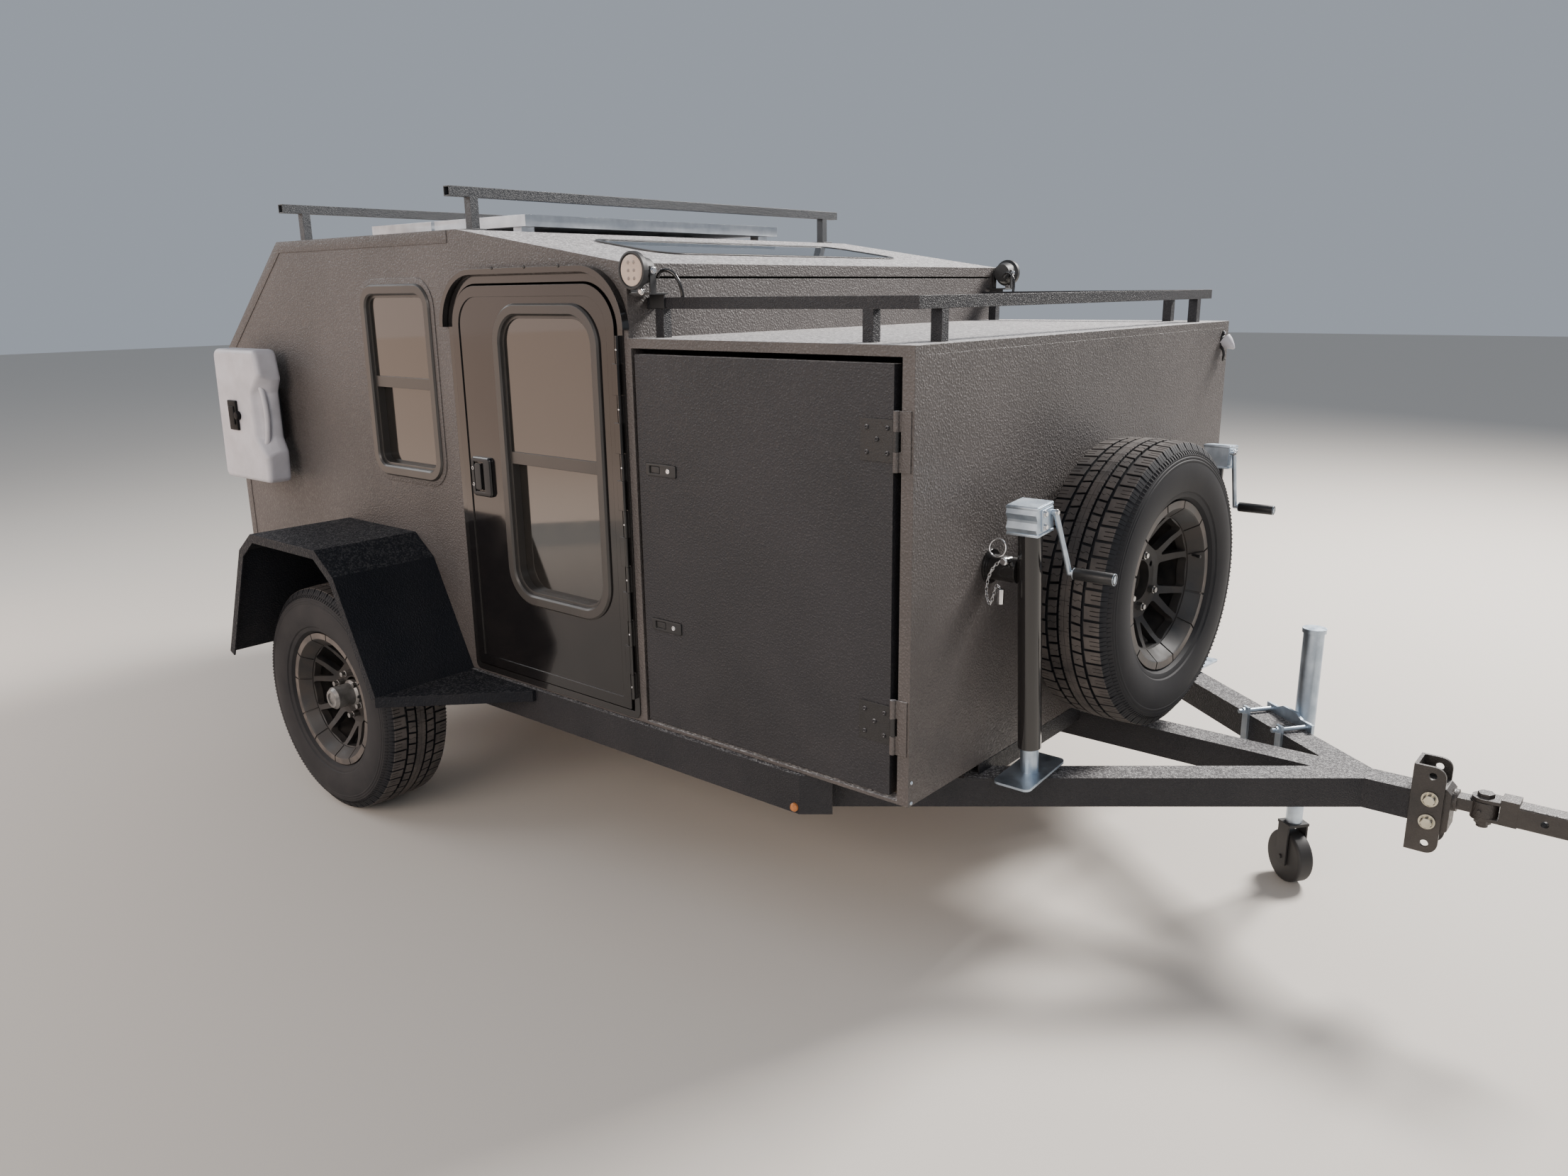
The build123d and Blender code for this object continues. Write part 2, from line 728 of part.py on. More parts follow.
def window_ring(size, base):
    # a bevelled outer frame, a neck through the wall, an inner sash and a middle bar
    ring = opening_shape(size, 0, base + window_proud, base)
    ring = chamfer(ring.faces().sort_by(Axis.Y)[0].edges(), window_bevel)
    ring -= opening_shape(size, -window_frame_width, base + window_proud + 1, base - 1)
    ring = chamfer(ring.faces().sort_by(Axis.Y)[0].inner_wires()[0].edges(), window_bevel)
    sash = opening_shape(size, -window_frame_width / 2, base, base - window_depth)
    sash -= opening_shape(size, -window_frame_width - 0.5, base + 1, base - window_depth - 1)
    ring += sash
    inner = opening_shape(size, -window_frame_width + 1, base - 4, base - window_depth)
    inner -= opening_shape(size, -window_frame_width - window_sash_width, base, base - window_depth - 1)
    ring += inner
    width = size["back"] - size["front"] - 2 * window_frame_width
    middle = (size["front"] + size["back"]) / 2
    height = (size["bottom"] + size["top"]) / 2
    ring += wall_shape(Rectangle(width, midbar_height), middle, height, base - 4, window_depth - 4)
    return ring


def window_glass(size, base):
    # a pane above the middle bar, and a deeper one that slides behind it
    inset = -window_frame_width - window_sash_width
    upper = opening_shape(size, inset, base - upper_pane_drop, base - upper_pane_drop - glass_thickness)
    lower = opening_shape(size, inset, base - lower_pane_drop, base - lower_pane_drop - glass_thickness)
    x0 = front - size["back"]
    x1 = front - size["front"]
    height = sill + (size["bottom"] + size["top"]) / 2
    upper &= block(x0, x1, -base, 0, height + midbar_height / 2, sill + size["top"])
    lower &= block(x0, x1, -base, 0, sill + size["bottom"], height - midbar_height / 2)
    return upper + lower


def make_drip_cap():
    # a gutter bent over the top of the door frame
    outer = entry_shape(-20, half + 22, half)
    outer -= entry_shape(-4, half + 23, half - 1)
    keep = block(front - entry_back - 60, front - entry_front + 60, -half - 60, -half + 1,
                 sill + entry_top - entry_corner, sill + entry_top + 60)
    return outer & keep


def make_box_door():
    door = block(front - box_door_back, front - box_door_front, -half, -half + side_thickness - panel_gap,
                 sill + box_door_bottom, sill + box_door_top)
    for z in box_latch_heights:
        back = front - box_door_back
        door -= block(back + 28, back + 134, -half - 1, -half + 5, sill + z - 16, sill + z + 16)
    return door


def box_axis():
    return front - box_hinge_axis_back, -(half + box_hinge_axis_proud)


def make_box_fittings():
    # what the box door carries: hinge leaves with their knuckles, and two flush latches
    x, y = box_axis()
    shape = None
    for z in box_hinge_heights:
        mid = sill + z
        leaf = block(front - box_door_front - hinge_leaf, front - box_door_front, -half - hinge_plate, -half,
                     mid - hinge_leaf_height / 2, mid + hinge_leaf_height / 2)
        knuckle = rod((x, y, mid - 21), (x, y, mid + 21), box_hinge_radius)
        web = block(front - box_door_front - 1, x, -half - hinge_plate, -half, mid - 21, mid + 21)
        leaf += knuckle + web
        shape = leaf if shape is None else shape + leaf
    for z in box_latch_heights:
        middle = front - box_door_back + 81
        latch = block(middle - 52, middle + 52, -half - 1, -half + 5, sill + z - 15, sill + z + 15)
        latch -= block(middle - 40, middle - 4, -half - 2, -half + 2.5, sill + z - 9, sill + z + 9)
        shape += latch
    return shape


def make_hinge_posts():
    # what the body carries of those hinges: outer knuckles and a leaf on the opening's edge
    x, y = box_axis()
    shape = None
    for z in box_hinge_heights:
        mid = sill + z
        edge = front - box_opening_front
        leaf = block(edge, front - 6, -half - hinge_plate, -half, mid - box_hinge_length / 2,
                     mid + box_hinge_length / 2)
        for side in [-1, 1]:
            low, high = sorted([mid + side * 21.5, mid + side * box_hinge_length / 2])
            leaf += rod((x, y, low), (x, y, high), box_hinge_radius)
            leaf += block(x, edge + 1, -half - hinge_plate, -half - 0.5, low, high)
        shape = leaf if shape is None else shape + leaf
    return shape


# Fender and step

def fender_outline():
    # where neighbouring plates meet, with a foot at each end; the points are (forward, above the sill)
    lines = []
    for direction, gap in fender_plates:
        turn = math.radians(direction)
        lines.append((math.cos(turn), math.sin(turn), tyre_radius + gap))
    points = []
    for (ax, az, ad), (bx, bz, bd) in zip(lines, lines[1:]):
        size = ax * bz - az * bx
        x = (ad * bz - az * bd) / size
        z = (ax * bd - ad * bx) / size
        points.append((x - wheel_back, z - sill_above_axle))
    for index, foot, place in [(0, fender_rear_foot, 0), (-1, fender_front_foot, len(points) + 1)]:
        nx, nz, distance = lines[index]
        points.insert(place, ((distance - nz * (foot + sill_above_axle)) / nx - wheel_back, foot))
    return points


def offset_path(points, distance):
    # the same open path, moved inwards (towards the wheel) by a plate's thickness
    moved = []
    for index, (x, z) in enumerate(points):
        before = points[max(index - 1, 0)]
        after = points[min(index + 1, len(points) - 1)]
        first = unit(before, (x, z)) if index else unit((x, z), after)
        second = unit((x, z), after) if index < len(points) - 1 else first
        nx = first[1] + second[1]
        nz = -(first[0] + second[0])
        size = math.hypot(nx, nz)
        half_turn = (first[0] * second[0] + first[1] * second[1] + 1) / 2
        reach = distance / math.sqrt(half_turn)
        moved.append((x + nx / size * reach, z + nz / size * reach))
    return moved


def unit(a, b):
    size = math.hypot(b[0] - a[0], b[1] - a[1])
    return (b[0] - a[0]) / size, (b[1] - a[1]) / size


def make_fender():
    wide = fender_out
    outer = fender_outline()
    skin = side_sheet(outer + list(reversed(offset_path(outer, fender_plate))), -wide, -half)
    skin += side_sheet(outer + list(reversed(offset_path(outer, fender_lip))), -wide, -wide + fender_plate)
    skin -= block(front - body_length, front, -rail_out, 0, 0, rail_top)
    # the three-cornered step in front of it is a tray with its edge folded down
    foot_x, foot_z = outer[-1]
    back = front + foot_x - fender_plate + 1
    tip = front + foot_x + step_reach
    top = sill + foot_z
    corners = [(back, -wide, top), (tip, -rail_out - 12, top), (tip, -rail_out, top), (back, -rail_out, top)]
    step = extrude(make_face(Polyline(*corners, close=True)), amount=-step_fold)
    slope = (wide - rail_out - 12) / (tip - back)
    inset = fender_plate * math.hypot(1, slope)
    hollow = [(back - 1, -wide + inset - slope, top - fender_plate),
              (tip - fender_plate, -rail_out - 12 + inset - slope * fender_plate, top - fender_plate),
              (tip - fender_plate, 0, top - fender_plate), (back - 1, 0, top - fender_plate)]
    step -= extrude(make_face(Polyline(*hollow, close=True)), amount=-step_fold)
    return skin + step


# Roof gear

def make_roof_bars():
    top = sill + roof_height + roof_bar_height
    reach = half - roof_bar_inset
    shape = None
    s = bar_size / 2
    for place in roof_bar_places:
        x = front + place
        bar = beam((x, -reach, top - s), (x, reach, top - s), bar_size, bar_size, 3)
        for y in [roof_post_inset - half, half - roof_post_inset]:
            bar += block(x - s, x + s, y - s, y + s, sill + roof_height, top - bar_size)
            bar += block(x - 30, x + 30, y - 26, y + 26, sill + roof_height, sill + roof_height + 5)
        shape = bar if shape is None else shape + bar
    return shape


def make_gallery():
    # the rail round the top of the storage box
    s = bar_size
    top = sill + box_height + gallery_height
    z = top - s / 2
    x = front + gallery_x
    rail = beam((x, -gallery_y - s / 2, z), (x, gallery_y + s / 2, z), s, s, 0)
    for side in [-1, 1]:
        y = side * gallery_y
        rail += beam((front - box_length, y, z), (x, y, z), s, s, 0)
        posts = [(front + place, y) for place in gallery_posts] + [(x, side * (gallery_y - 90))]
        for px, py in posts:
            rail += block(px - s / 2, px + s / 2, py - s / 2, py + s / 2, sill + box_height, top - s)
    return rail


def make_solar_panels():
    # framed panels on clips; the cells lie a little below the frame's edge
    z = sill + roof_height + solar_lift
    side = solar_width / 2
    start = front + roof_bar_places[0] - solar_behind_bar
    shape = None
    for length in solar_lengths:
        panel = block(start - length, start, -side, side, z, z + solar_thickness)
        panel -= block(start - length + 12, start - 12, -side + 12, side - 12, z + solar_thickness - 2,
                       z + solar_thickness + 1)
        for x in [start - 60, start - length + 60]:
            for y in [40 - side, side - 40]:
                panel += block(x - 20, x + 20, y - 25, y + 25, sill + roof_height, z)
        shape = panel if shape is None else shape + panel
        start -= length + solar_gap
    return shape


def make_work_lamp():
    # a round lamp with a tapering bowl between two ears, on a bracket that hangs on the rail of the box
    x = front + work_lamp_x
    z = sill + work_lamp_z
    lens = half + 20
    r = work_lamp_radius
    profile = Polyline((0, -lens + 3), (r - 6, -lens + 3), (r - 5, -lens), (r, -lens + 1), (r, -lens + 15),
                       (r - 8, -lens + 21), (r - 16, -lens + 54), (0, -lens + 54), close=True)
    lamp = Pos(x, 0, z) * revolve(make_face(profile), axis=Axis.Y)
    rail = gallery_y + bar_size / 2
    plate_z = sill + box_height + gallery_height + 7
    ear_y = -lens + 29
    for side in [-1, 1]:
        x0, x1 = sorted([x + side * (r - 13), x + side * (r - 9)])
        lamp += block(x0, x1, ear_y, ear_y + 20, plate_z, z + 10)
    lamp += block(x - r + 9, x + r - 9, -lens + 25, -rail, plate_z, plate_z + 5)
    lamp += block(x - 26, x + 26, -rail - 5, -rail, plate_z - 34, plate_z + 1)
    return lamp


def make_pack_bracket():
    x = front - pack_back
    z = sill + pack_mid
    plate = block(x - 60, x + 60, -half - 6, -half, z - 90, z + 90)
    plate += block(x - 40, x + 40, -half - pack_stand, -half - 6, z - 55, z + 55)
    return plate


def make_fuel_pack():
    # a flat blow-moulded container with a waist for the hand and a clamping knob in its middle
    x = front - pack_back
    z = sill + pack_mid
    back = -half - pack_stand
    wide = pack_width / 2
    high = pack_height / 2
    outline = Polyline((-wide, -high), (wide, -high), (wide, -high + 118), (wide - 26, -high + 158),
                       (wide - 26, high - 150), (wide, high - 110), (wide, high), (-wide, high), close=True)
    face = fillet(make_face(outline).vertices(), 20)
    plane = Plane(origin=(x, back, z), x_dir=(1, 0, 0), z_dir=(0, -1, 0))
    pack = extrude(plane * face, amount=pack_depth)
    pack = chamfer(pack.faces().sort_by(Axis.Y)[0].edges(), 14)
    slot = Pos(wide - 62, 0) * SlotCenterToCenter(100, 30, rotation=90)
    pack -= extrude(plane * slot, amount=pack_depth + 1)
    knob_y = back - pack_depth
    knob_x = x - 42
    pack += block(knob_x - 22, knob_x + 22, knob_y - 9, knob_y + 1, z - 52, z + 52)
    pack += rod((knob_x + 24, knob_y + 1, z), (knob_x + 24, knob_y - 15, z), 15)
    return pack


# Stabiliser jack of the right side, drawn upright on its foot and then leaned

def stab_place():
    y = tongue_line(stab_x) - stab_outboard
    return Pos(front + stab_x, y, tongue_top + stab_over_tongue) * Rot(stab_lean, 0, 0)


def stab_at(height):
    # the place across of the tube's axis at a height above the sill
    base = tongue_top + stab_over_tongue - sill
    return tongue_line(stab_x) - stab_outboard - (height - base) * math.tan(math.radians(stab_lean))


def make_stabilizer():
    tube = rod((0, 0, stab_tube_low), (0, 0, stab_tube_high), stab_tube_radius)
    tube -= rod((0, 0, stab_tube_low - 1), (0, 0, stab_tube_high - 8), stab_leg_radius + 0.3)
    tube = stab_place() * tube
    # the pipe mount: a round flange on the box front and a short pipe out to the tube
    x = front + stab_x
    z = sill + stab_mount_height
    y = stab_at(stab_mount_height)
    tube += rod((front, y, z), (front + 6, y, z), stab_flange_radius)
    tube += rod((front + 5, y, z), (x - stab_tube_radius + 2, y, z), stab_pipe_radius)
    return tube


def make_crank(arm_across, arm_drop, grip_length):
    # gearbox cover with its ribbed front, the shaft, and a crank hanging from it
    low = stab_tube_high
    cover = block(-30, 46, -52, 20, low, low + 70)
    for z in [low + 18, low + 52]:
        ridge = Plane(origin=(-30, -52, z), x_dir=(0, 0, 1), z_dir=(1, 0, 0))
        cover += extrude(ridge * make_face(Polyline((-14, 0), (0, 7), (14, 0), close=True)), amount=76)
    shaft_z = low + 46
    cover += rod((46, 12, shaft_z), (60, 12, shaft_z), crank_radius)
    elbow = (58, 12, shaft_z)
    arm_end = (66, 12 + arm_across, shaft_z - arm_drop)
    cover += rod(elbow, arm_end, crank_radius)
    cover += Pos(*elbow) * Sphere(crank_radius)
    cover += Pos(*arm_end) * Sphere(crank_radius)
    grip_end = (arm_end[0] + grip_length, arm_end[1], arm_end[2])
    cover += rod(arm_end, grip_end, crank_radius)
    cover += rod((arm_end[0] + 12, arm_end[1], arm_end[2]), grip_end, crank_grip_radius)
    return stab_place() * cover


def make_stabilizer_leg():
    leg = rod((0, 0, stab_foot_thickness), (0, 0, stab_tube_low + 200), stab_leg_radius)
    plate = extrude(RectangleRounded(stab_foot[0], stab_foot[1], 16), amount=stab_foot_thickness)
    return stab_place() * (leg + plate)


# Tongue jack, on the left rail; drawn with its swing axis at the origin, along +Y

jack_turn = Rot(0, 0, -tongue_angle)
jack_z = tongue_mid


def jack_place():
    # the pivot stands this far out from the left rail's outer face
    turn = math.radians(tongue_angle)
    reach = tongue_size / 2 + jack_offset
    x = jack_pivot_x
    y = -tongue_line(jack_pivot_x - reach * math.sin(turn)) + reach * math.cos(turn)
    return Pos(front + x, y, jack_z) * jack_turn


def make_jack_mount():
    # clamped round the left rail: an outer plate with a pivot boss, two inner bars and four bolts
    near = -jack_offset
    s = tongue_size
    outline = make_face(Polyline((-98, -s / 2 - 22), (98, -s / 2 - 22), (98, s / 2 + 22), (52, s / 2 + 22),
                                 (28, s / 2 + 34), (-28, s / 2 + 34), (-52, s / 2 + 22), (-98, s / 2 + 22),
                                 close=True))
    plane = Plane(origin=(0, near, 0), x_dir=(1, 0, 0), z_dir=(0, -1, 0))
    plate = extrude(plane * outline, amount=-8)
    plate += rod((0, near + 8, 0), (0, -jack_tube_radius - 7.5, 0), 24)
    for x in [-75, 75]:
        plate += block(x - 12, x + 12, near - s - 8, near - s, -s / 2 - 22, s / 2 + 22)
        for z in [-s / 2 - 10, s / 2 + 10]:
            plate += rod((x, near - s - 28, z), (x, near + 15, z), 6)
            plate += hexagon((x, near - s - 8, z), (0, -1, 0), 10, 8)
            plate += hexagon((x, near + 8, z), (0, 1, 0), 10, 6)
    return jack_place() * plate


def make_tongue_jack():
    low = -170
    tube = rod((0, 0, low), (0, 0, jack_head_reach), jack_tube_radius)
    tube -= rod((0, 0, low - 1), (0, 0, jack_head_reach - 40), jack_leg_radius + 0.3)
    tube += rod((0, -jack_tube_radius - 7, 0), (0, -jack_tube_radius + 3, 0), 30)
    tube += rod((0, 0, jack_head_reach), (0, 0, jack_head_reach + 12), jack_tube_radius + 4)
    return jack_place() * tube


def caster_axle_z():
    return -jack_z + jack_caster_radius


def make_jack_leg():
    fork_top = caster_axle_z() + jack_caster_radius + 30
    leg = rod((0, 0, fork_top), (0, 0, 40), jack_leg_radius)
    return jack_place() * leg


def make_jack_fork():
    axle = caster_axle_z()
    top = axle + jack_caster_radius + 29.7
    wide = jack_caster_width / 2 + 3
    fork = block(-26, 26, -wide - 5, wide + 5, top - 8, top)
    for side in [-1, 1]:
        y0, y1 = sorted([side * wide, side * (wide + 5)])
        fork += block(-22, 22, y0, y1, axle - 20, top)
    fork += rod((0, -wide - 9, axle), (0, wide + 9, axle), 6)
    return jack_place() * fork


def make_jack_wheel():
    axle = caster_axle_z()
    wheel = Pos(0, 0, axle) * Rot(90, 0, 0) * Cylinder(jack_caster_radius, jack_caster_width)
    wheel = fillet(wheel.edges(), 9)
    wheel -= rod((0, -60, axle), (0, 60, axle), 6.05)
    return jack_place() * wheel


# Spare wheel on the box front, its face turned a little to the right side

spare_over_tongue = 36
spare_side = 58
spare_turn = 3.7
spare_clear = 12
spare_phase = 30
spare_nuts = [1, 3, 4, 5]
spare_z = tongue_top + spare_over_tongue + tyre_radius
spare_reach = (tyre_radius - tyre_bulge_depth) * math.sin(math.radians(spare_turn))
spare_mid = front + spare_clear + spare_reach + tyre_width / 2


def spare_place():
    return Pos(spare_mid, -spare_side, spare_z) * Rot(0, 0, 90 - spare_turn)


def make_spare_mount():
    # a base plate and an arm, then the seat, the studs and four nuts, drawn with the wheel
    z = spare_z
    y = -spare_side
    seat = wheel_pad_thickness - wheel_pad_out
    arm_end = spare_mid - seat - 4
    mount = block(front, front + 8, y - 110, y + 110, z - 110, z + 110)
    mount += block(front + 8, arm_end, y - 32, y + 32, z - 32, z + 32)
    mount += spare_place() * rod((0, seat, 0), (0, seat + 8, 0), wheel_pad_radius - 2)
    for index in spare_nuts:
        turn = math.radians(360 / stud_count * index + spare_phase)
        x = stud_circle_radius * math.cos(turn)
        up = stud_circle_radius * math.sin(turn)
        stud = rod((x, seat + 2, up), (x, -wheel_pad_out - 20, up), stud_radius)
        stud += hexagon((x, -wheel_pad_out, up), (0, -1, 0), nut_size, 14)
        mount += spare_place() * stud
    return mount


# Lamps

def make_tail_lamps():
    x = front - body_length
    lamp = block(x - tail_lamp_depth, x, 115 - half, 275 - half, sill + 150, sill + 210)
    lamp = fillet(lamp.faces().sort_by(Axis.X)[0].edges(), 8)
    return both(lamp)


def make_marker_lamps():
    # a small domed lens on each side rail, just behind its cut
    x = front - mitre_back - marker_radius - 2
    z = rail_bottom + marker_radius + 5
    profile = Polyline((0, -rail_out), (marker_radius, -rail_out), (marker_radius, -rail_out - 5),
                       (marker_radius - 4, -rail_out - 10), (0, -rail_out - 11), close=True)
    return both(Pos(x, 0, z) * revolve(make_face(profile), axis=Axis.Y))


# All nodes

nodes["chassis_frame"] = make_chassis()
nodes["tongue_frame"] = make_tongue()
nodes["coupler_bracket"] = make_coupler_bracket()
nodes["coupler_neck"] = make_coupler_neck()
nodes["hitch_insert"] = make_hitch_insert()
nodes["axle"] = make_axle()

hub = make_hub()
rim = make_rim()
tyre = make_tyre()
wheel_place = Pos(wheel_x, -wheel_mid, tyre_radius) * Rot(0, wheel_phase, 0)
nodes["right_hub"] = hub
nodes["left_hub"] = left_of(hub)
nodes["right_wheel"] = wheel_place * rim
nodes["left_wheel"] = left_of(wheel_place * rim)
nodes["right_tyre"] = wheel_place * tyre
nodes["left_tyre"] = left_of(wheel_place * tyre)
spare_wheel_place = spare_place() * Rot(0, -spare_phase, 0)
nodes["spare_wheel"] = spare_wheel_place * rim
nodes["spare_tyre"] = spare_wheel_place * tyre
nodes["spare_mount"] = make_spare_mount()

fender = make_fender()
nodes["right_fender"] = fender
nodes["left_fender"] = left_of(fender)
side_wall = make_side_wall()
nodes["right_side_wall"] = side_wall
nodes["left_side_wall"] = left_of(side_wall)
nodes["bulkhead"] = make_bulkhead()
nodes["box_front"] = make_box_front()
nodes["box_top"] = make_box_top()
nodes["floor"] = make_floor()
nodes["roof"] = make_roof()
nodes["rear_panel"] = make_rear_panel()
nodes["rear_hatch"] = make_rear_hatch()

door_face = half + entry_proud - entry_skin_drop
entry_door = make_entry_door()
door_ring = window_ring(door_window, door_face)
door_pane = window_glass(door_window, door_face)
nodes["door_frames"] = both(make_door_frame() + make_drip_cap())
nodes["right_entry_door"] = entry_door
nodes["left_entry_door"] = left_of(entry_door)
nodes["right_door_window"] = door_ring
nodes["left_door_window"] = left_of(door_ring)
nodes["right_door_glass"] = door_pane
nodes["left_door_glass"] = left_of(door_pane)
nodes["side_windows"] = both(window_ring(side_window, half))
nodes["side_glass"] = both(window_glass(side_window, half))

box_door = make_box_door()
box_fittings = make_box_fittings()
nodes["right_box_door"] = box_door
nodes["left_box_door"] = left_of(box_door)
nodes["right_box_fittings"] = box_fittings
nodes["left_box_fittings"] = left_of(box_fittings)
nodes["box_hinge_posts"] = both(make_hinge_posts())

nodes["skylight"] = make_skylight()
nodes["skylight_glass"] = make_skylight_glass()
nodes["roof_bars"] = make_roof_bars()
nodes["box_gallery"] = make_gallery()
nodes["solar_panels"] = make_solar_panels()
nodes["work_lamps"] = both(make_work_lamp())
nodes["pack_bracket"] = make_pack_bracket()
nodes["fuel_pack"] = make_fuel_pack()

stabilizer_leg = make_stabilizer_leg()
right_crank = make_crank(55, 158, 112)
left_crank = left_of(make_crank(-37, 160, 116))
nodes["stabilizer_jacks"] = both(make_stabilizer())
nodes["stabilizer_cranks"] = Compound(children=[*right_crank.solids(), *left_crank.solids()])
nodes["right_stabilizer_leg"] = stabilizer_leg
nodes["left_stabilizer_leg"] = left_of(stabilizer_leg)
nodes["jack_mount"] = make_jack_mount()
nodes["tongue_jack"] = make_tongue_jack()
nodes["jack_leg"] = make_jack_leg()
nodes["jack_fork"] = make_jack_fork()
nodes["jack_wheel"] = make_jack_wheel()
nodes["tail_lamps"] = make_tail_lamps()
nodes["marker_lamps"] = make_marker_lamps()

os.makedirs("parts", exist_ok=True)
for name, shape in nodes.items():
    export_step(shape, "parts/" + name + ".step")
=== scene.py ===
import bmesh
import bpy
from math import cos, pi, radians, sin, sqrt, tan
from mathutils import Matrix, Vector


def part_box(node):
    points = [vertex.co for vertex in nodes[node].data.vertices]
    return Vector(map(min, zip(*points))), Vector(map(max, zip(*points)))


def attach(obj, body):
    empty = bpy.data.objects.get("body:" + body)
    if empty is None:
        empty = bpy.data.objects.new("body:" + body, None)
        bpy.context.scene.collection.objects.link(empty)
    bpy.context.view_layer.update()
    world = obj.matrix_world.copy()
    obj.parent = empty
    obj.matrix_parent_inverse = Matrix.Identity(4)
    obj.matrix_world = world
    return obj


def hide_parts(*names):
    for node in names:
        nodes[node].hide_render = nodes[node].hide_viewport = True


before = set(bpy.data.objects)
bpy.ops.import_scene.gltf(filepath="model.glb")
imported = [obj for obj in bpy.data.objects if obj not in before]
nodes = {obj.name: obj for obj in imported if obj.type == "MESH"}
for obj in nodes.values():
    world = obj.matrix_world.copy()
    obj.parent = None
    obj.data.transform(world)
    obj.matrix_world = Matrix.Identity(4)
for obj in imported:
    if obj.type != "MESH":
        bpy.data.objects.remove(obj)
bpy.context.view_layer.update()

print("frame loaded:", len(nodes), "nodes")

mm = 0.001
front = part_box("box_front")[1].x
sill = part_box("box_front")[0].z
half = -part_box("right_side_wall")[0].y


def bodyPlace(ahead, across, up):
    # a place from millimetres ahead of the box front, across, and above the sill
    return Vector((front + ahead * mm, across * mm, sill + up * mm))


def addToScene(name, data):
    thing = bpy.data.objects.new(name, data)
    bpy.context.scene.collection.objects.link(thing)
    return thing


# camera, fitted to the straight edges of the body

cameraPlace = dict(x=1.3205, y=-2.9205, z=1.141, yaw=129.94, pitch=14.59, roll=-0.71,
                   focalPixels=1612.2, imageWidth=2212, sensor=36, sightEnd=200)


def makeCamera(place):
    data = bpy.data.cameras.new("photoCamera")
    data.sensor_width = place["sensor"]
    data.lens = place["focalPixels"] / place["imageWidth"] * place["sensor"]
    data.clip_end = place["sightEnd"]
    yaw, pitch, roll = (radians(place[k]) for k in ("yaw", "pitch", "roll"))
    forward = Vector((cos(yaw) * cos(pitch), sin(yaw) * cos(pitch), -sin(pitch)))
    side = Vector((sin(yaw), -cos(yaw), 0))
    up = side.cross(forward)
    right = cos(roll) * side + sin(roll) * up
    top = -sin(roll) * side + cos(roll) * up
    spot = Vector((front + place["x"], place["y"], sill + place["z"]))
    cam = addToScene("photoCamera", data)
    cam.matrix_world = Matrix.Translation(spot) @ Matrix((right, top, -forward)).transposed().to_4x4()
    bpy.context.scene.camera = cam


makeCamera(cameraPlace)
print("camera placed")


# small tools for node trees; a socket knows its own tree, so most of them ask for no tree

def isSocket(value):
    return isinstance(value, bpy.types.NodeSocket)


def feed(socket, value):
    # another socket is linked, anything else is set
    if isSocket(value):
        socket.id_data.links.new(value, socket)
    else:
        socket.default_value = value


def addNode(tree, kind, settings=None, **sockets):
    # sockets are given by name, with spaces left out
    node = tree.nodes.new(kind)
    for key, value in (settings or {}).items():
        setattr(node, key, value)
    for key, value in sockets.items():
        feed(next(s for s in node.inputs if s.name.replace(" ", "") == key and s.enabled), value)
    return node


def doMath(operation, a, b, clamp=False):
    tree = (a if isSocket(a) else b).id_data
    node = addNode(tree, "ShaderNodeMath", dict(operation=operation, use_clamp=clamp))
    feed(node.inputs[0], a)
    feed(node.inputs[1], b)
    return node.outputs[0]


def times(a, b, clamp=False):
    return doMath("MULTIPLY", a, b, clamp)


def plus(a, b, clamp=False):
    return doMath("ADD", a, b, clamp)


def vectorMath(operation, a, b=None, output="Vector"):
    node = addNode(a.id_data, "ShaderNodeVectorMath", dict(operation=operation))
    feed(node.inputs[0], a)
    if b is not None:
        feed(node.inputs["Scale" if operation == "SCALE" else 1], b)
    return node.outputs[output]


def fade(value, low, high, outLow=0, outHigh=1):
    return addNode(value.id_data, "ShaderNodeMapRange", None, Value=value, FromMin=low, FromMax=high,
                   ToMin=outLow, ToMax=outHigh).outputs[0]


def noise(place, scale, detail, low=None, high=None, **more):
    # plain noise, or noise drawn out between two levels
    made = addNode(place.id_data, "ShaderNodeTexNoise", None, Vector=place, Scale=scale, Detail=detail, **more)
    return made.outputs["Fac"] if low is None else fade(made.outputs["Fac"], low, high)


def blendColour(mask, first, second):
    node = addNode(mask.id_data, "ShaderNodeMix", dict(data_type="RGBA"))
    feed(node.inputs[0], mask)
    for index, value in ((6, first), (7, second)):
        feed(node.inputs[index], value if isSocket(value) else (*value, 1))
    return node.outputs[2]


def objectPlace(tree):
    return addNode(tree, "ShaderNodeTexCoord").outputs["Object"]


def faceNormal(tree):
    return addNode(tree, "ShaderNodeNewGeometry").outputs["Normal"]


def upPart(vector):
    return addNode(vector.id_data, "ShaderNodeSeparateXYZ", None, Vector=vector).outputs["Z"]


def startGroup(name, inputs, outputs, kind="Shader"):
    # each socket has a name and either a kind or a value to start from
    tree = bpy.data.node_groups.new(name, kind + "NodeTree")
    for way, sockets in (("INPUT", inputs), ("OUTPUT", outputs)):
        for label, given in sockets.items():
            kindName = given if isinstance(given, str) else "Vector" if isinstance(given, tuple) else "Float"
            socket = tree.interface.new_socket(name=label, in_out=way, socket_type="NodeSocket" + kindName)
            if given is not kindName:
                socket.default_value = given
    return tree, tree.nodes.new("NodeGroupInput").outputs, tree.nodes.new("NodeGroupOutput").inputs


def useGroup(tree, group, **values):
    return addNode(tree, "ShaderNodeGroup", dict(node_tree=group), **values).outputs


# effects that several finishes share

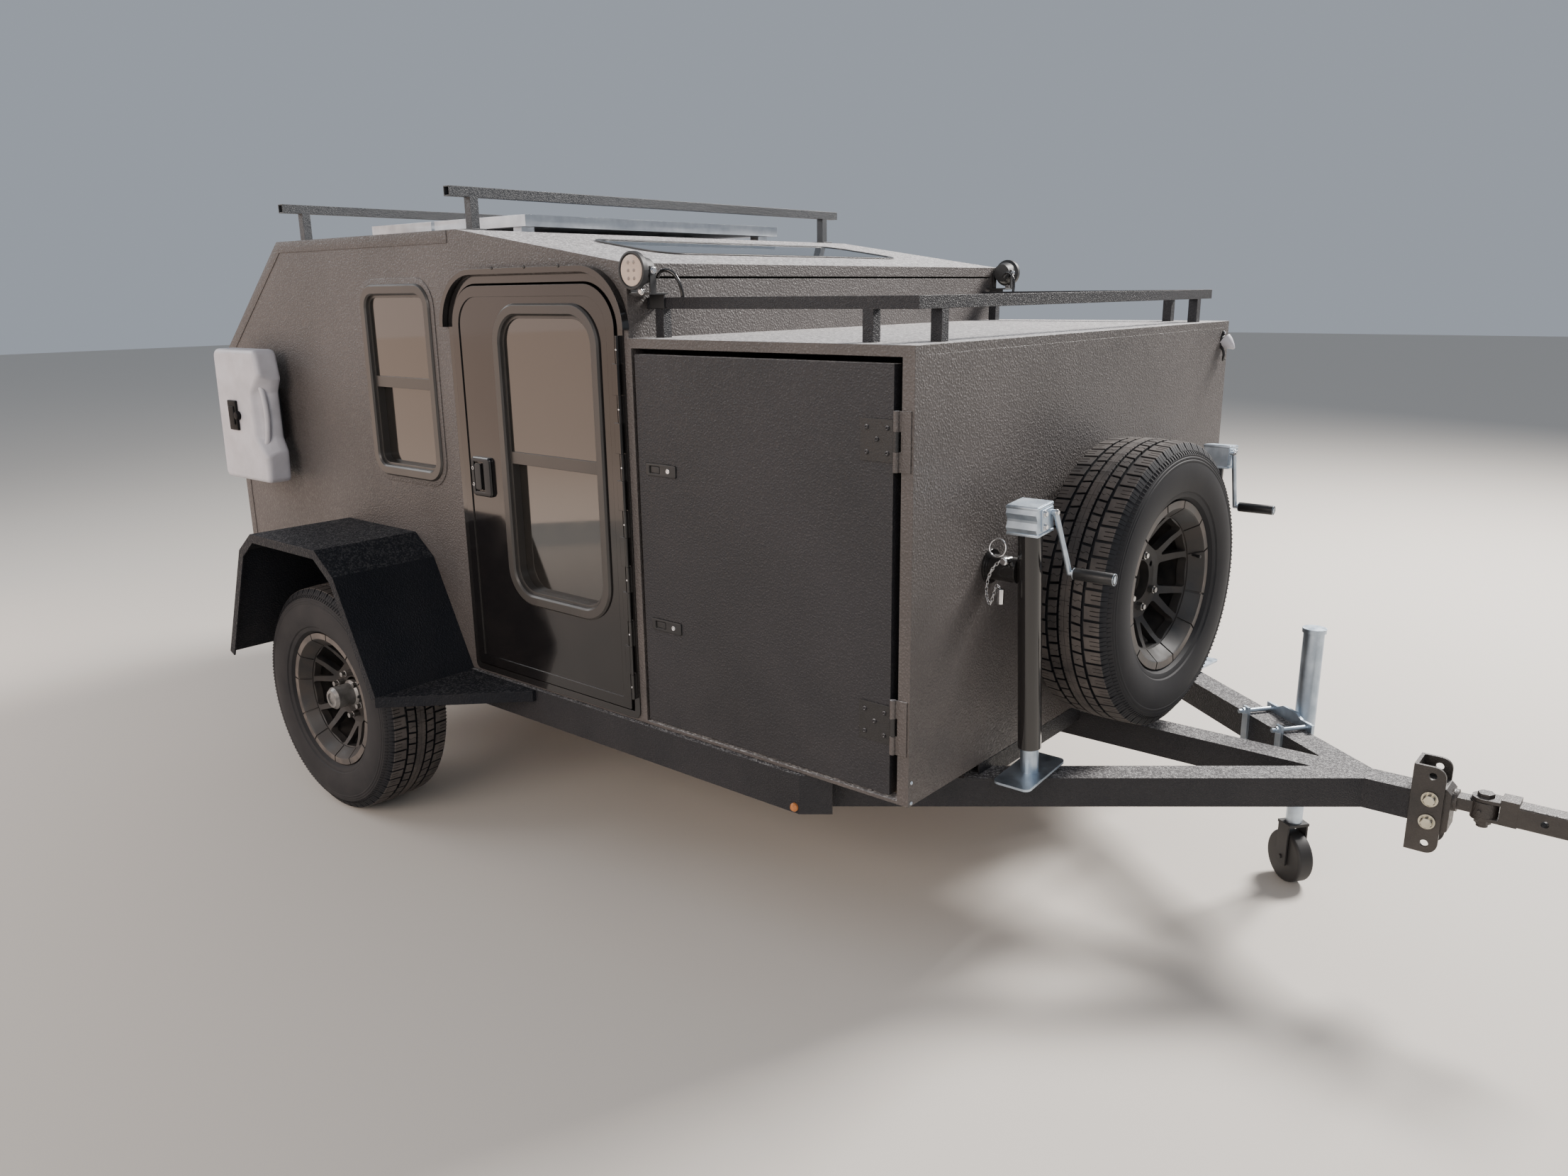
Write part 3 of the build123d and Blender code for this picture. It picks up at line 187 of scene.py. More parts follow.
def makeGrainGroup():
    # sprayed coat: small lumps, a slow change of tone, and cells for painted glints and glossier spots
    tree, given, out = startGroup("sprayedGrain", dict(Lumps=300, Patches=2.2),
                                  dict(Height="Float", Patch="Float", Glint="Float"))
    place = objectPlace(tree)
    fine = noise(place, given["Lumps"], 2)
    cells = addNode(tree, "ShaderNodeTexVoronoi", None, Vector=place, Scale=given["Lumps"]).outputs
    lump = fade(cells["Distance"], 0, 0.65, 1, 0)
    feed(out["Height"], plus(times(lump, fine), times(fine, 0.6)))
    feed(out["Patch"], noise(place, given["Patches"], 5, 0.32, 0.68))
    red = addNode(tree, "ShaderNodeSeparateColor", None, Color=cells["Color"]).outputs["Red"]
    feed(out["Glint"], fade(red, 0.45, 1))
    return tree


def makeDustGroup():
    # road dust: it lies on what faces up and fades with height; the mask of what faces up also places painted sheen
    # and painted glints
    tree, given, out = startGroup("roadDust", dict(Low=0.2, High=0.9, Top=0.6, Amount=1),
                                  dict(Mask="Float", Top="Float"))
    place = objectPlace(tree)
    low = fade(upPart(place), given["Low"], given["High"], 1, 0)
    top = fade(upPart(faceNormal(tree)), 0.55, 0.98)
    cloud = noise(place, 9, 7, 0.3, 0.72, Roughness=0.62)
    feed(out["Top"], top)
    feed(out["Mask"], times(times(plus(low, times(top, given["Top"])), cloud), given["Amount"], True))
    return tree


def makeEdgeGroup():
    # softens a sharp corner and finds where it is rubbed
    tree, given, out = startGroup("rubbedEdge", dict(Radius=0.0015), dict(Normal="Vector", Mask="Float"))
    soft = addNode(tree, "ShaderNodeBevel", dict(samples=4), Radius=given["Radius"]).outputs[0]
    worn = fade(vectorMath("DOT_PRODUCT", soft, faceNormal(tree), "Value"), 0.99, 0.9)
    feed(out["Mask"], times(worn, noise(objectPlace(tree), 60, 5, 0.42, 0.62)))
    feed(out["Normal"], soft)
    return tree


def makeStreakGroup():
    # fine streaks of rolled or plated steel
    tree, given, out = startGroup("metalStreaks", dict(Scale=40, Stretch=(1, 1, 0.06)),
                                  dict(Streak="Float", Cloud="Float"))
    place = objectPlace(tree)
    feed(out["Streak"], noise(vectorMath("MULTIPLY", place, given["Stretch"]), given["Scale"], 4))
    feed(out["Cloud"], noise(place, 22, 4, 0.3, 0.7))
    return tree


def makeAxleGroup():
    # distance from an axle line, and place along it, outwards from the wheel's middle
    tree, given, out = startGroup("aboutAxle", dict(Centre=(0, 0, 0), Outward=(0, -1, 0)),
                                  dict(Radius="Float", Along="Float", Facing="Float"))
    reach = vectorMath("SUBTRACT", objectPlace(tree), given["Centre"])
    across = vectorMath("CROSS_PRODUCT", reach, given["Outward"])
    feed(out["Radius"], vectorMath("LENGTH", across, None, "Value"))
    feed(out["Along"], vectorMath("DOT_PRODUCT", reach, given["Outward"], "Value"))
    feed(out["Facing"], vectorMath("DOT_PRODUCT", faceNormal(tree), given["Outward"], "Value"))
    return tree


sprayedGrain = makeGrainGroup()
roadDust = makeDustGroup()
rubbedEdge = makeEdgeGroup()
metalStreaks = makeStreakGroup()
aboutAxle = makeAxleGroup()


def startMaterial(name, roughness=0.5, metallic=0, colour=(0.5, 0.5, 0.5), **settings):
    mat = bpy.data.materials.new(name)
    mat.use_nodes = True
    skin = mat.node_tree.nodes["Principled BSDF"].inputs
    settings.update(BaseColor=(*colour, 1), Roughness=roughness, Metallic=metallic)
    for key, value in settings.items():
        next(s for s in skin if s.name.replace(" ", "") == key).default_value = value
    return mat, mat.node_tree, skin


def raiseGrain(skin, height, strength, distance, normal=None):
    bump = addNode(height.id_data, "ShaderNodeBump", None, Strength=strength, Distance=distance, Height=height)
    if normal is not None:
        feed(bump.inputs["Normal"], normal)
    feed(skin["Normal"], bump.outputs[0])


coatLook = dict(roughness=0.52, specular=0.5, lumps=175, dark=(0.068, 0.059, 0.056), light=(0.1, 0.087, 0.083),
                dustLow=0.1, dustHigh=0.95, dustTop=0.35, dustAmount=0.35, dust=(0.22, 0.175, 0.145),
                topShare=0.75, topTone=(0.36, 0.35, 0.36), glitter=1, glintColour=(0.85, 0.83, 0.82),
                edge=0.002, wear=0.35, wornColour=(0.19, 0.165, 0.145), bump=0.75, bumpDepth=0.0028)


def sprayedCoat(name, **changes):
    # textured coating: a painted paler sheen and painted glints on what faces up, dusty low down
    look = {**coatLook, **changes}
    mat, tree, skin = startMaterial(name, look["roughness"], SpecularIORLevel=look["specular"])
    grain = useGroup(tree, sprayedGrain, Lumps=look["lumps"])
    dust = useGroup(tree, roadDust, Low=look["dustLow"], High=look["dustHigh"], Top=look["dustTop"],
                    Amount=look["dustAmount"])
    edge = useGroup(tree, rubbedEdge, Radius=look["edge"])
    base = blendColour(grain["Patch"], look["dark"], look["light"])
    # painted shade and highlight: the colour is darker in the grain's pits and paler on its lumps
    shade = vectorMath("SCALE", base, fade(grain["Height"], 0.1, 1.1, 0.72, 1.25))
    # painted sheen: what faces up is blended toward a pale tone that stands in for light on the tops
    paintedSheen = blendColour(times(dust["Top"], look["topShare"]), shade, look["topTone"])
    # painted glints: pale grain cells on what faces up stand in for sparkling highlights
    glint = times(grain["Glint"], times(dust["Top"], look["glitter"]))
    dusty = blendColour(dust["Mask"], blendColour(glint, paintedSheen, look["glintColour"]), look["dust"])
    feed(skin["Base Color"], blendColour(times(edge["Mask"], look["wear"]), dusty, look["wornColour"]))
    feed(skin["Roughness"], fade(grain["Glint"], 0, 1, look["roughness"] + 0.06, look["roughness"] - 0.14))
    raiseGrain(skin, grain["Height"], look["bump"], look["bumpDepth"], edge["Normal"])
    return mat


wallCoat = sprayedCoat("wallCoat")
boxDoorCoat = sprayedCoat("boxDoorCoat", dark=(0.019, 0.019, 0.022), light=(0.028, 0.027, 0.031), dustAmount=0.08,
                          specular=0.4, lumps=200, bump=0.6)
fittingCoat = sprayedCoat("fittingCoat", dark=(0.011, 0.011, 0.012), light=(0.017, 0.017, 0.018), roughness=0.4,
                          dustAmount=0.1, lumps=300, bump=0.25, topShare=0.05, glitter=0.1)
frameCoat = sprayedCoat("frameCoat", dark=(0.011, 0.011, 0.014), light=(0.018, 0.018, 0.022), lumps=300,
                        dustHigh=0.62, dustAmount=0.16, specular=0.4, dustTop=0.45, glitter=0.4, topShare=0.14,
                        dust=(0.14, 0.115, 0.1))
fenderCoat = sprayedCoat("fenderCoat", dark=(0.009, 0.0105, 0.0145), light=(0.015, 0.017, 0.022), specular=0.16,
                         dustAmount=0.06, dustTop=0.1, glitter=0.06, topShare=0, wear=0.2, lumps=190)
railCoat = sprayedCoat("railCoat", dark=(0.027, 0.029, 0.033), light=(0.04, 0.043, 0.048), roughness=0.42, bump=0.3,
                       dustAmount=0.15, glitter=0.15, topShare=0.1, lumps=300, dustHigh=0.3)
steelCoat = sprayedCoat("steelCoat", dark=(0.014, 0.013, 0.013), light=(0.028, 0.024, 0.022), roughness=0.45,
                        bump=0.3, dustAmount=0.5, dustTop=0.35, dustHigh=0.8, glitter=0.1, topShare=0.08,
                        lumps=260, dust=(0.13, 0.105, 0.085))

glossLook = dict(roughness=0.1, coat=0.3, dustLow=0.4, dustHigh=1.1, dustAmount=0.14, smudge=0.1,
                 colour=(0.006, 0.0055, 0.006), dust=(0.07, 0.058, 0.05), edge=0.002, wave=0.12)


def glossPanel(name, **changes):
    # moulded gloss skin with faint waviness, finger marks and a veil of dust low down
    look = {**glossLook, **changes}
    mat, tree, skin = startMaterial(name, look["roughness"], CoatWeight=look["coat"], CoatRoughness=0.04)
    dust = useGroup(tree, roadDust, Low=look["dustLow"], High=look["dustHigh"], Top=0.4, Amount=look["dustAmount"])
    smudge = noise(objectPlace(tree), 7, 6, 0.45, 0.7)
    feed(skin["Base Color"], blendColour(dust["Mask"], look["colour"], look["dust"]))
    feed(skin["Roughness"], plus(fade(smudge, 0, 1, look["roughness"], look["roughness"] + look["smudge"]),
                                 times(dust["Mask"], 0.35)))
    edge = useGroup(tree, rubbedEdge, Radius=look["edge"])
    raiseGrain(skin, noise(objectPlace(tree), 3.2, 1), look["wave"], 0.02, edge["Normal"])
    return mat


doorSkin = glossPanel("doorSkin")
trimBlack = glossPanel("trimBlack", roughness=0.3, coat=0.1, colour=(0.034, 0.031, 0.029), wave=0,
                       dustAmount=0.3, dust=(0.11, 0.092, 0.076))
tubeBlack = glossPanel("tubeBlack", colour=(0.013, 0.012, 0.012), wave=0.03, dustAmount=0.12)
partBlack = glossPanel("partBlack", roughness=0.5, coat=0, colour=(0.015, 0.015, 0.016), wave=0,
                       dustAmount=0.2, dustHigh=0.7)

# the strong blue in these zinc tones is partly painted sky reflection, over the plating's own slight blue tint
zincLook = dict(roughness=0.42, scale=60, stretch=(1, 1, 0.08), dark=(0.38, 0.45, 0.53), light=(0.62, 0.7, 0.78),
                bump=0.12)


def platedSteel(name, **changes):
    look = {**zincLook, **changes}
    mat, tree, skin = startMaterial(name, look["roughness"], 1)
    streak = useGroup(tree, metalStreaks, Scale=look["scale"], Stretch=look["stretch"])
    edge = useGroup(tree, rubbedEdge, Radius=0.001)
    feed(skin["Base Color"], blendColour(streak["Cloud"], look["dark"], look["light"]))
    feed(skin["Roughness"], fade(streak["Streak"], 0.3, 0.7, look["roughness"] - 0.07, look["roughness"] + 0.12))
    raiseGrain(skin, streak["Streak"], look["bump"], 0.0006, edge["Normal"])
    return mat


zincPlate = platedSteel("zincPlate")
yellowZinc = platedSteel("yellowZinc", dark=(0.46, 0.42, 0.32), light=(0.7, 0.66, 0.54))
brightSteel = platedSteel("brightSteel", roughness=0.2, dark=(0.55, 0.55, 0.56), light=(0.75, 0.75, 0.76))
panelFrame = platedSteel("panelFrame", roughness=0.36, stretch=(0.05, 0.05, 1), dark=(0.5, 0.53, 0.57),
                         light=(0.66, 0.69, 0.72), bump=0.05)


def tintedGlass(name, colour, roughness, passing):
    mat, tree, skin = startMaterial(name, roughness, 0, colour, IOR=1.9, TransmissionWeight=passing)
    dust = useGroup(tree, roadDust, Low=0.5, High=1.9, Top=0.5, Amount=0.16)
    feed(skin["Base Color"], blendColour(dust["Mask"], colour, (0.12, 0.1, 0.08)))
    feed(skin["Roughness"], fade(dust["Mask"], 0, 0.4, roughness, roughness + 0.12))
    return mat


windowGlass = tintedGlass("windowGlass", (0.022, 0.02, 0.018), 0.025, 0.35)
skyGlass = tintedGlass("skyGlass", (0.035, 0.05, 0.07), 0.02, 0.25)


def mouldedPlastic(name, colour, shade, roughness, glow=0, bump=0.12, specular=0.5):
    mat, tree, skin = startMaterial(name, roughness, 0, colour, SubsurfaceWeight=glow,
                                    SubsurfaceRadius=(0.02, 0.02, 0.018), SpecularIORLevel=specular)
    feed(skin["Base Color"], blendColour(noise(objectPlace(tree), 14, 6, 0.35, 0.7), colour, shade))
    fine = noise(objectPlace(tree), 160, 3)
    feed(skin["Roughness"], fade(fine, 0.3, 0.7, roughness - 0.06, roughness + 0.1))
    raiseGrain(skin, fine, bump, 0.0008)
    return mat


whitePlastic = mouldedPlastic("whitePlastic", (0.54, 0.53, 0.57), (0.45, 0.44, 0.47), 0.42, 0.25)
redLens = mouldedPlastic("redLens", (0.42, 0.012, 0.01), (0.3, 0.008, 0.008), 0.18)
amberLens = mouldedPlastic("amberLens", (0.52, 0.2, 0.06), (0.38, 0.13, 0.04), 0.25)
lampLens = mouldedPlastic("lampLens", (0.55, 0.44, 0.37), (0.46, 0.36, 0.3), 0.15)
lampDot = mouldedPlastic("lampDot", (0.2, 0.16, 0.14), (0.28, 0.23, 0.2), 0.3)
gripRubber = mouldedPlastic("gripRubber", (0.012, 0.012, 0.013), (0.016, 0.016, 0.016), 0.42, 0, 0)
knobBlack = mouldedPlastic("knobBlack", (0.006, 0.006, 0.006), (0.01, 0.01, 0.011), 0.5, 0, 0.03, 0.1)
panelSheet = mouldedPlastic("panelSheet", (0.6, 0.61, 0.62), (0.52, 0.53, 0.54), 0.3)


def boardFinish():
    mat, tree, skin = startMaterial("floorBoard", 0.5)
    grain = useGroup(tree, metalStreaks, Scale=30, Stretch=(0.06, 1, 1))
    feed(skin["Base Color"], blendColour(grain["Streak"], (0.2, 0.14, 0.09), (0.36, 0.27, 0.18)))
    raiseGrain(skin, grain["Streak"], 0.1, 0.001)
    return mat


def cellFinish():
    # dark blue cells under glass, with a slight change from cell to cell
    mat, tree, skin = startMaterial("solarCell", 0.12, 0, (0.01, 0.015, 0.04), CoatWeight=0.8, CoatRoughness=0.03)
    cell = addNode(tree, "ShaderNodeTexVoronoi", None, Vector=objectPlace(tree), Scale=60)
    red = addNode(tree, "ShaderNodeSeparateColor", None, Color=cell.outputs["Color"]).outputs["Red"]
    feed(skin["Base Color"], blendColour(red, (0.008, 0.012, 0.03), (0.016, 0.026, 0.065)))
    return mat


floorBoard = boardFinish()
solarCell = cellFinish()


# wheel finishes follow each wheel's own axle

wheelLook = dict(roughness=0.46, ringIn=0.201, ringAlong=0.091, dusty=0.4, colour=(0.01, 0.01, 0.011),
                 dust=(0.085, 0.068, 0.056), ringDark=(0.045, 0.039, 0.036), ringLight=(0.15, 0.125, 0.108))


def wheelPaint(name, axle, look):
    # black cast wheel: a paler dusty ring at its mouth and dust in the dish
    mat, tree, skin = startMaterial(name, look["roughness"], CoatWeight=0.05, CoatRoughness=0.2)
    about = useGroup(tree, aboutAxle, **axle)
    edge = useGroup(tree, rubbedEdge, Radius=0.0016)
    spots = noise(objectPlace(tree), 16, 7)
    cloud = fade(spots, 0.35, 0.68)
    ring = times(fade(about["Radius"], look["ringIn"], look["ringIn"] + 0.0012), fade(about["Facing"], 0.75, 0.93))
    lip = times(ring, fade(about["Along"], look["ringAlong"] - 0.004, look["ringAlong"]))
    dished = blendColour(times(cloud, look["dusty"]), look["colour"], look["dust"])
    ringTone = blendColour(cloud, look["ringDark"], look["ringLight"])
    rubbed = blendColour(times(edge["Mask"], 0.35), dished, look["ringDark"])
    feed(skin["Base Color"], blendColour(lip, rubbed, ringTone))
    feed(skin["Roughness"], fade(cloud, 0, 1, look["roughness"], look["roughness"] + 0.28))
    raiseGrain(skin, spots, 0.08, 0.001, edge["Normal"])
    return mat


rubberLook = dict(treadRadius=0.376, crown=0.48, topDust=0.7, wallDust=0.14, colour=(0.01, 0.011, 0.014),
                  dust=(0.15, 0.13, 0.118), roughness=0.66)
spareWallDust = 0.08


def tyreRubber(name, axle, look):
    # rubber with dusty block tops, dark grooves and a dusty wall
    mat, tree, skin = startMaterial(name, 0.72, SpecularIORLevel=0.28)
    about = useGroup(tree, aboutAxle, **axle)
    crowned = plus(about["Radius"], times(look["crown"], doMath("POWER", about["Along"], 2)))
    top = fade(crowned, look["treadRadius"] - 0.0025, look["treadRadius"] - 0.0006)
    wall = fade(about["Radius"], look["treadRadius"] - 0.012, look["treadRadius"] - 0.03)
    spread = plus(times(top, look["topDust"]), times(wall, look["wallDust"]))
    cloud = noise(objectPlace(tree), 11, 8, 0.32, 0.68, Roughness=0.65)
    mask = times(spread, fade(cloud, 0, 1, 0.35, 1), True)
    feed(skin["Base Color"], blendColour(mask, look["colour"], look["dust"]))
    feed(skin["Roughness"], fade(mask, 0, 1, look["roughness"], 0.9))
    raiseGrain(skin, noise(objectPlace(tree), 420, 3), 0.25, 0.0008)
    return mat


hubLook = dict(faceAlong=0.0084, colour=(0.02, 0.019, 0.018), dust=(0.075, 0.062, 0.052), nutDark=(0.28, 0.27, 0.26),
               nutLight=(0.52, 0.51, 0.5), nutRough=0.33, capShine=0.55, nutIn=0.055, nutOut=0.085, capOut=0.047,
               soft=0.0005)


def hubFinish(name, axle, look):
    # bright nuts and cap end on a dusty hub
    mat, tree, skin = startMaterial(name, 0.45)
    about = useGroup(tree, aboutAxle, **axle)
    spots = noise(objectPlace(tree), 30, 6)
    cloud = fade(spots, 0.35, 0.65)
    proud = fade(about["Along"], look["faceAlong"], look["faceAlong"] + 0.0008)
    nutRing = times(fade(about["Radius"], look["nutIn"] - look["soft"], look["nutIn"]),
                    fade(about["Radius"], look["nutOut"] + look["soft"], look["nutOut"]))
    cap = times(proud, fade(about["Radius"], look["capOut"] + look["soft"], look["capOut"]))
    bright = plus(times(proud, nutRing), times(cap, look["capShine"]), True)
    dark = blendColour(cloud, look["colour"], look["dust"])
    metal = blendColour(cloud, look["nutDark"], look["nutLight"])
    feed(skin["Base Color"], blendColour(bright, dark, metal))
    feed(skin["Metallic"], bright)
    feed(skin["Roughness"], fade(bright, 0, 1, 0.5, look["nutRough"]))
    raiseGrain(skin, spots, 0.1, 0.0008, useGroup(tree, rubbedEdge, Radius=0.0012)["Normal"])
    return mat


print("finishes made")


# finishes of the frame's own pieces

def dress(finish, *names):
    for name in names:
        for place in nodes[name].material_slots:
            place.material = finish


# a finish, the single pieces that wear it, and those that stand on both sides
for finish, single, paired in (
        (wallCoat, "box_front box_top bulkhead roof rear_panel rear_hatch box_hinge_posts", "side_wall"),
        (boxDoorCoat, "", "box_door"),
        (fittingCoat, "", "box_fittings"),
        (frameCoat, "chassis_frame tongue_frame box_gallery", ""),
        (fenderCoat, "", "fender"),
        (railCoat, "roof_bars pack_bracket", ""),
        (steelCoat, "axle coupler_bracket coupler_neck hitch_insert", ""),
        (doorSkin, "", "entry_door"),
        (trimBlack, "side_windows skylight", "door_window"),
        (windowGlass, "side_glass", "door_glass"),
        (skyGlass, "skylight_glass", ""),
        (tubeBlack, "stabilizer_jacks door_frames", ""),
        (zincPlate, "stabilizer_cranks jack_mount tongue_jack jack_leg", "stabilizer_leg"),
        (partBlack, "jack_fork jack_wheel work_lamps", ""),
        (panelFrame, "solar_panels", ""),
        (floorBoard, "floor", ""),
        (redLens, "tail_lamps", ""),
        (amberLens, "marker_lamps", ""),
        (whitePlastic, "fuel_pack", "")):
    dress(finish, *single.split(), *[side + name for side in ("right_", "left_") for name in paired.split()])

spareTurn = radians(3.7)
wheels = []
for side, body, hub, outward in (("right", "right_road_wheel", "right_hub", (0, -1, 0)),
                                 ("left", "left_road_wheel", "left_hub", (0, 1, 0)),
                                 ("spare", "root", "spare_mount", (cos(spareTurn), -sin(spareTurn), 0))):
    low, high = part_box(side + "_tyre")
    axle = dict(Centre=(low + high) / 2, Outward=outward)
    wheels.append((side, body, axle))
    look = {**rubberLook, "wallDust": spareWallDust} if side == "spare" else rubberLook
    dress(wheelPaint(side + "WheelPaint", axle, wheelLook), side + "_wheel")
    dress(tyreRubber(side + "Rubber", axle, look), side + "_tyre")
    dress(hubFinish(side + "HubSteel", axle, hubLook), hub)
print("frame dressed")


# small tools for places and meshes

def shift(x, y, z):
    return Matrix.Translation(Vector((x, y, z)) * mm)


def turned(degrees, axis):
    return Matrix.Rotation(radians(degrees), 4, axis)


def standOn(spot, outward):
    # a place on a surface: its Z points outward and its Y points up
    return Matrix.Translation(spot) @ Vector(outward).to_track_quat("Z", "Y").to_matrix().to_4x4()


def wallPlace(ahead, up, proud=0):
    # a place on the right side wall, or proud of it, that looks outward
    return standOn(bodyPlace(ahead, -half / mm - proud, up), (0, -1, 0))


def turns(steps):
    return [2 * pi * k / steps for k in range(steps)]


def stack(bm, rings, closed=False, lids=True):
    # bands of faces from ring to ring; a ring of one point is a pole
    for low, high in zip(rings, rings[1:] + (rings[:1] if closed else [])):
        count = max(len(low), len(high))
        for k in range(count if count > 1 else 0):
            n = (k + 1) % count
            corners = (low[k % len(low)], low[n % len(low)], high[n % len(high)], high[k % len(high)])
            bm.faces.new(list(dict.fromkeys(corners)))
    if lids and not closed:
        bm.faces.new(rings[0][::-1])
        bm.faces.new(rings[-1])


def addTurned(bm, place, profile, steps=32, closed=False):
    # turn a profile of (radius, height) in mm about the place's Z
    rings = [[bm.verts.new(place @ (Vector((radius * cos(a), radius * sin(a), height)) * mm))
              for a in turns(steps if radius else 1)] for radius, height in profile]
    stack(bm, rings, closed, lids=False)


def wireRing(bm, spot, radius, side, across, steps):
    # points round a spot, in the plane of two directions
    return [bm.verts.new(spot + radius * mm * (side * cos(a) + across * sin(a))) for a in turns(steps)]


def addSweep(bm, points, radius, steps=10):
    # a closed round bar along points, in metres, with evenly turned rings
    rings, side = [], None
    for index, point in enumerate(points):
        ahead = (points[min(index + 1, len(points) - 1)] - points[max(index - 1, 0)]).normalized()
        if side is None:
            side = ahead.orthogonal().normalized()
        side = (side - ahead * side.dot(ahead)).normalized()
        rings.append(wireRing(bm, point, radius, side, ahead.cross(side), steps))
    stack(bm, rings)


def smoothRoute(points, steps=5):
    # points along a smooth line through the given ones
    line = []
    for index in range(len(points) - 1):
        p0, p1, p2 = points[max(index - 1, 0)], points[index], points[index + 1]
        p3 = points[min(index + 2, len(points) - 1)]
        for t in (k / steps for k in range(steps)):
            line.append(0.5 * (2 * p1 + (p2 - p0) * t + (2 * p0 - 5 * p1 + 4 * p2 - p3) * t ** 2
                               + (3 * p1 - p0 - 3 * p2 + p3) * t ** 3))
    return line + [points[-1]]


def addBox(bm, place, low, high, edge=0, segments=2):
    # a box between two corners in mm, with rounded edges
    made = bmesh.ops.create_cube(bm, size=1)["verts"]
    for vert in made:
        vert.co = Vector([(l + h) / 2 + c * (h - l) for c, l, h in zip(vert.co, low, high)]) * mm
    if edge:
        edges = list(dict.fromkeys(e for v in made for e in v.link_edges))
        done = bmesh.ops.bevel(bm, geom=edges, offset=edge * mm, segments=segments, profile=0.5, affect="EDGES")
        made = list(dict.fromkeys(v for f in done["faces"] for v in f.verts))
    bmesh.ops.transform(bm, matrix=place, verts=made)


def smoothed(mesh, finish, sharp=35):
    for face in mesh.polygons:
        face.use_smooth = True
    mesh.set_sharp_from_angle(angle=radians(sharp))
    mesh.materials.clear()
    mesh.materials.append(finish)
    return mesh


def meshOf(bm, finish, sharp=35):
    bmesh.ops.recalc_face_normals(bm, faces=bm.faces)
    mesh = bpy.data.meshes.new("shape")
    bm.to_mesh(mesh)
    bm.free()
    return smoothed(mesh, finish, sharp)


def joined(meshes, sharp=35):
    bm = bmesh.new()
    for mesh in meshes:
        bm.from_mesh(mesh)
    return meshOf(bm, meshes[0].materials[0], sharp)


def settle(name, mesh, body, slot, *replaced):
    piece = addToScene(name, mesh)
    mesh.name = name
    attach(piece, body)
    if replaced:
        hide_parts(*replaced)


def otherSide(mesh):
    # the same shape on the left side
    copy = mesh.copy()
    copy.transform(Matrix.Scale(-1, 4, (0, 1, 0)))
    copy.flip_normals()
    return copy


def settlePair(name, mesh, slot, body="root"):
    # one piece on each side; a body other than the root has a right and a left one
    for side, shape in (("right_", mesh), ("left_", otherSide(mesh))):
        settle(side + name, shape, body if body == "root" else side + body, slot)


def roundedPath(points, radii, steps=5):
    # an outline whose corners are arcs
    path = []
    for index, (point, radius) in enumerate(zip(points, radii)):
        here = Vector(point)
        before = (Vector(points[index - 1]) - here).normalized()
        after = (Vector(points[(index + 1) % len(points)]) - here).normalized()
        angle = before.angle(after)
        cut = radius / tan(angle / 2)
        middle = here + (before + after).normalized() * radius / sin(angle / 2)
        first, last = here + before * cut - middle, here + after * cut - middle
        turn = first.angle_signed(last)
        path += [middle + Matrix.Rotation(-turn * k / steps, 2) @ first for k in range(steps + 1)]
    return path


def rectangle(low, high, corner, steps=5):
    (x, y), (u, v) = low, high
    return roundedPath([(x, y), (u, y), (u, v), (x, v)], [corner] * 4, steps)


def slab(outlines, thickness, edge, finish, place, rounds=3):
    # a plate with rounded edges, its back on the place's XY plane; outlines after the first are holes
    data = bpy.data.curves.new("slab", "CURVE")
    data.dimensions = "2D"
    data.fill_mode = "BOTH"
    data.extrude = max(thickness / 2 - edge, 0) * mm
    data.bevel_depth = edge * mm
    data.bevel_resolution = rounds
    data.offset = -edge * mm
    for outline in outlines:
        spline = data.splines.new("POLY")
        spline.points.add(len(outline) - 1)
        for point, spot in zip(spline.points, outline):
            point.co = (spot[0] * mm, spot[1] * mm, 0, 1)
        spline.use_cyclic_u = True
    drawn = addToScene("slab", data)
    graph = bpy.context.evaluated_depsgraph_get()
    bm = bmesh.new()
    bm.from_mesh(bpy.data.meshes.new_from_object(drawn.evaluated_get(graph)))
    bpy.data.objects.remove(drawn)
    bmesh.ops.remove_doubles(bm, verts=bm.verts, dist=0.02 * mm)
    bmesh.ops.transform(bm, matrix=place @ shift(0, 0, thickness / 2), verts=bm.verts)
    return meshOf(bm, finish)


# Geometry Nodes trees for what repeats

def startCopies(name, **inputs):
    return startGroup(name, dict(Geometry="Geometry", Shape="Object", Finish="Material", **inputs),
                      dict(Geometry="Geometry"), "Geometry")


def endCopies(tree, given, out, points, rotation=(0, 0, 0)):
    shape = addNode(tree, "GeometryNodeObjectInfo", None, Object=given["Shape"])
    copies = addNode(tree, "GeometryNodeInstanceOnPoints", None, Points=points, Instance=shape.outputs["Geometry"],
                     Rotation=rotation)
    solid = addNode(tree, "GeometryNodeRealizeInstances", None, Geometry=copies.outputs[0])
    done = addNode(tree, "GeometryNodeSetMaterial", None, Geometry=solid.outputs[0], Material=given["Finish"])
    feed(out["Geometry"], done.outputs[0])
    return tree


def makeRingCopies():
    # copies turned evenly about Z
    tree, given, out = startCopies("ringCopies", Count="Int")
    line = addNode(tree, "GeometryNodeMeshLine", None, Count=given["Count"], Offset=(0, 0, 0))
    index = addNode(tree, "GeometryNodeInputIndex").outputs[0]
    turn = times(index, doMath("DIVIDE", 2 * pi, given["Count"]))
    rotation = addNode(tree, "ShaderNodeCombineXYZ", None, Z=turn)
    return endCopies(tree, given, out, line.outputs[0], rotation.outputs[0])


def makePlacedCopies():
    # a copy on each point, turned by the point's own angles
    tree, given, out = startCopies("placedCopies")
    turn = addNode(tree, "GeometryNodeInputNamedAttribute", dict(data_type="FLOAT_VECTOR"), Name="turn")
    return endCopies(tree, given, out, given["Geometry"], turn.outputs["Attribute"])


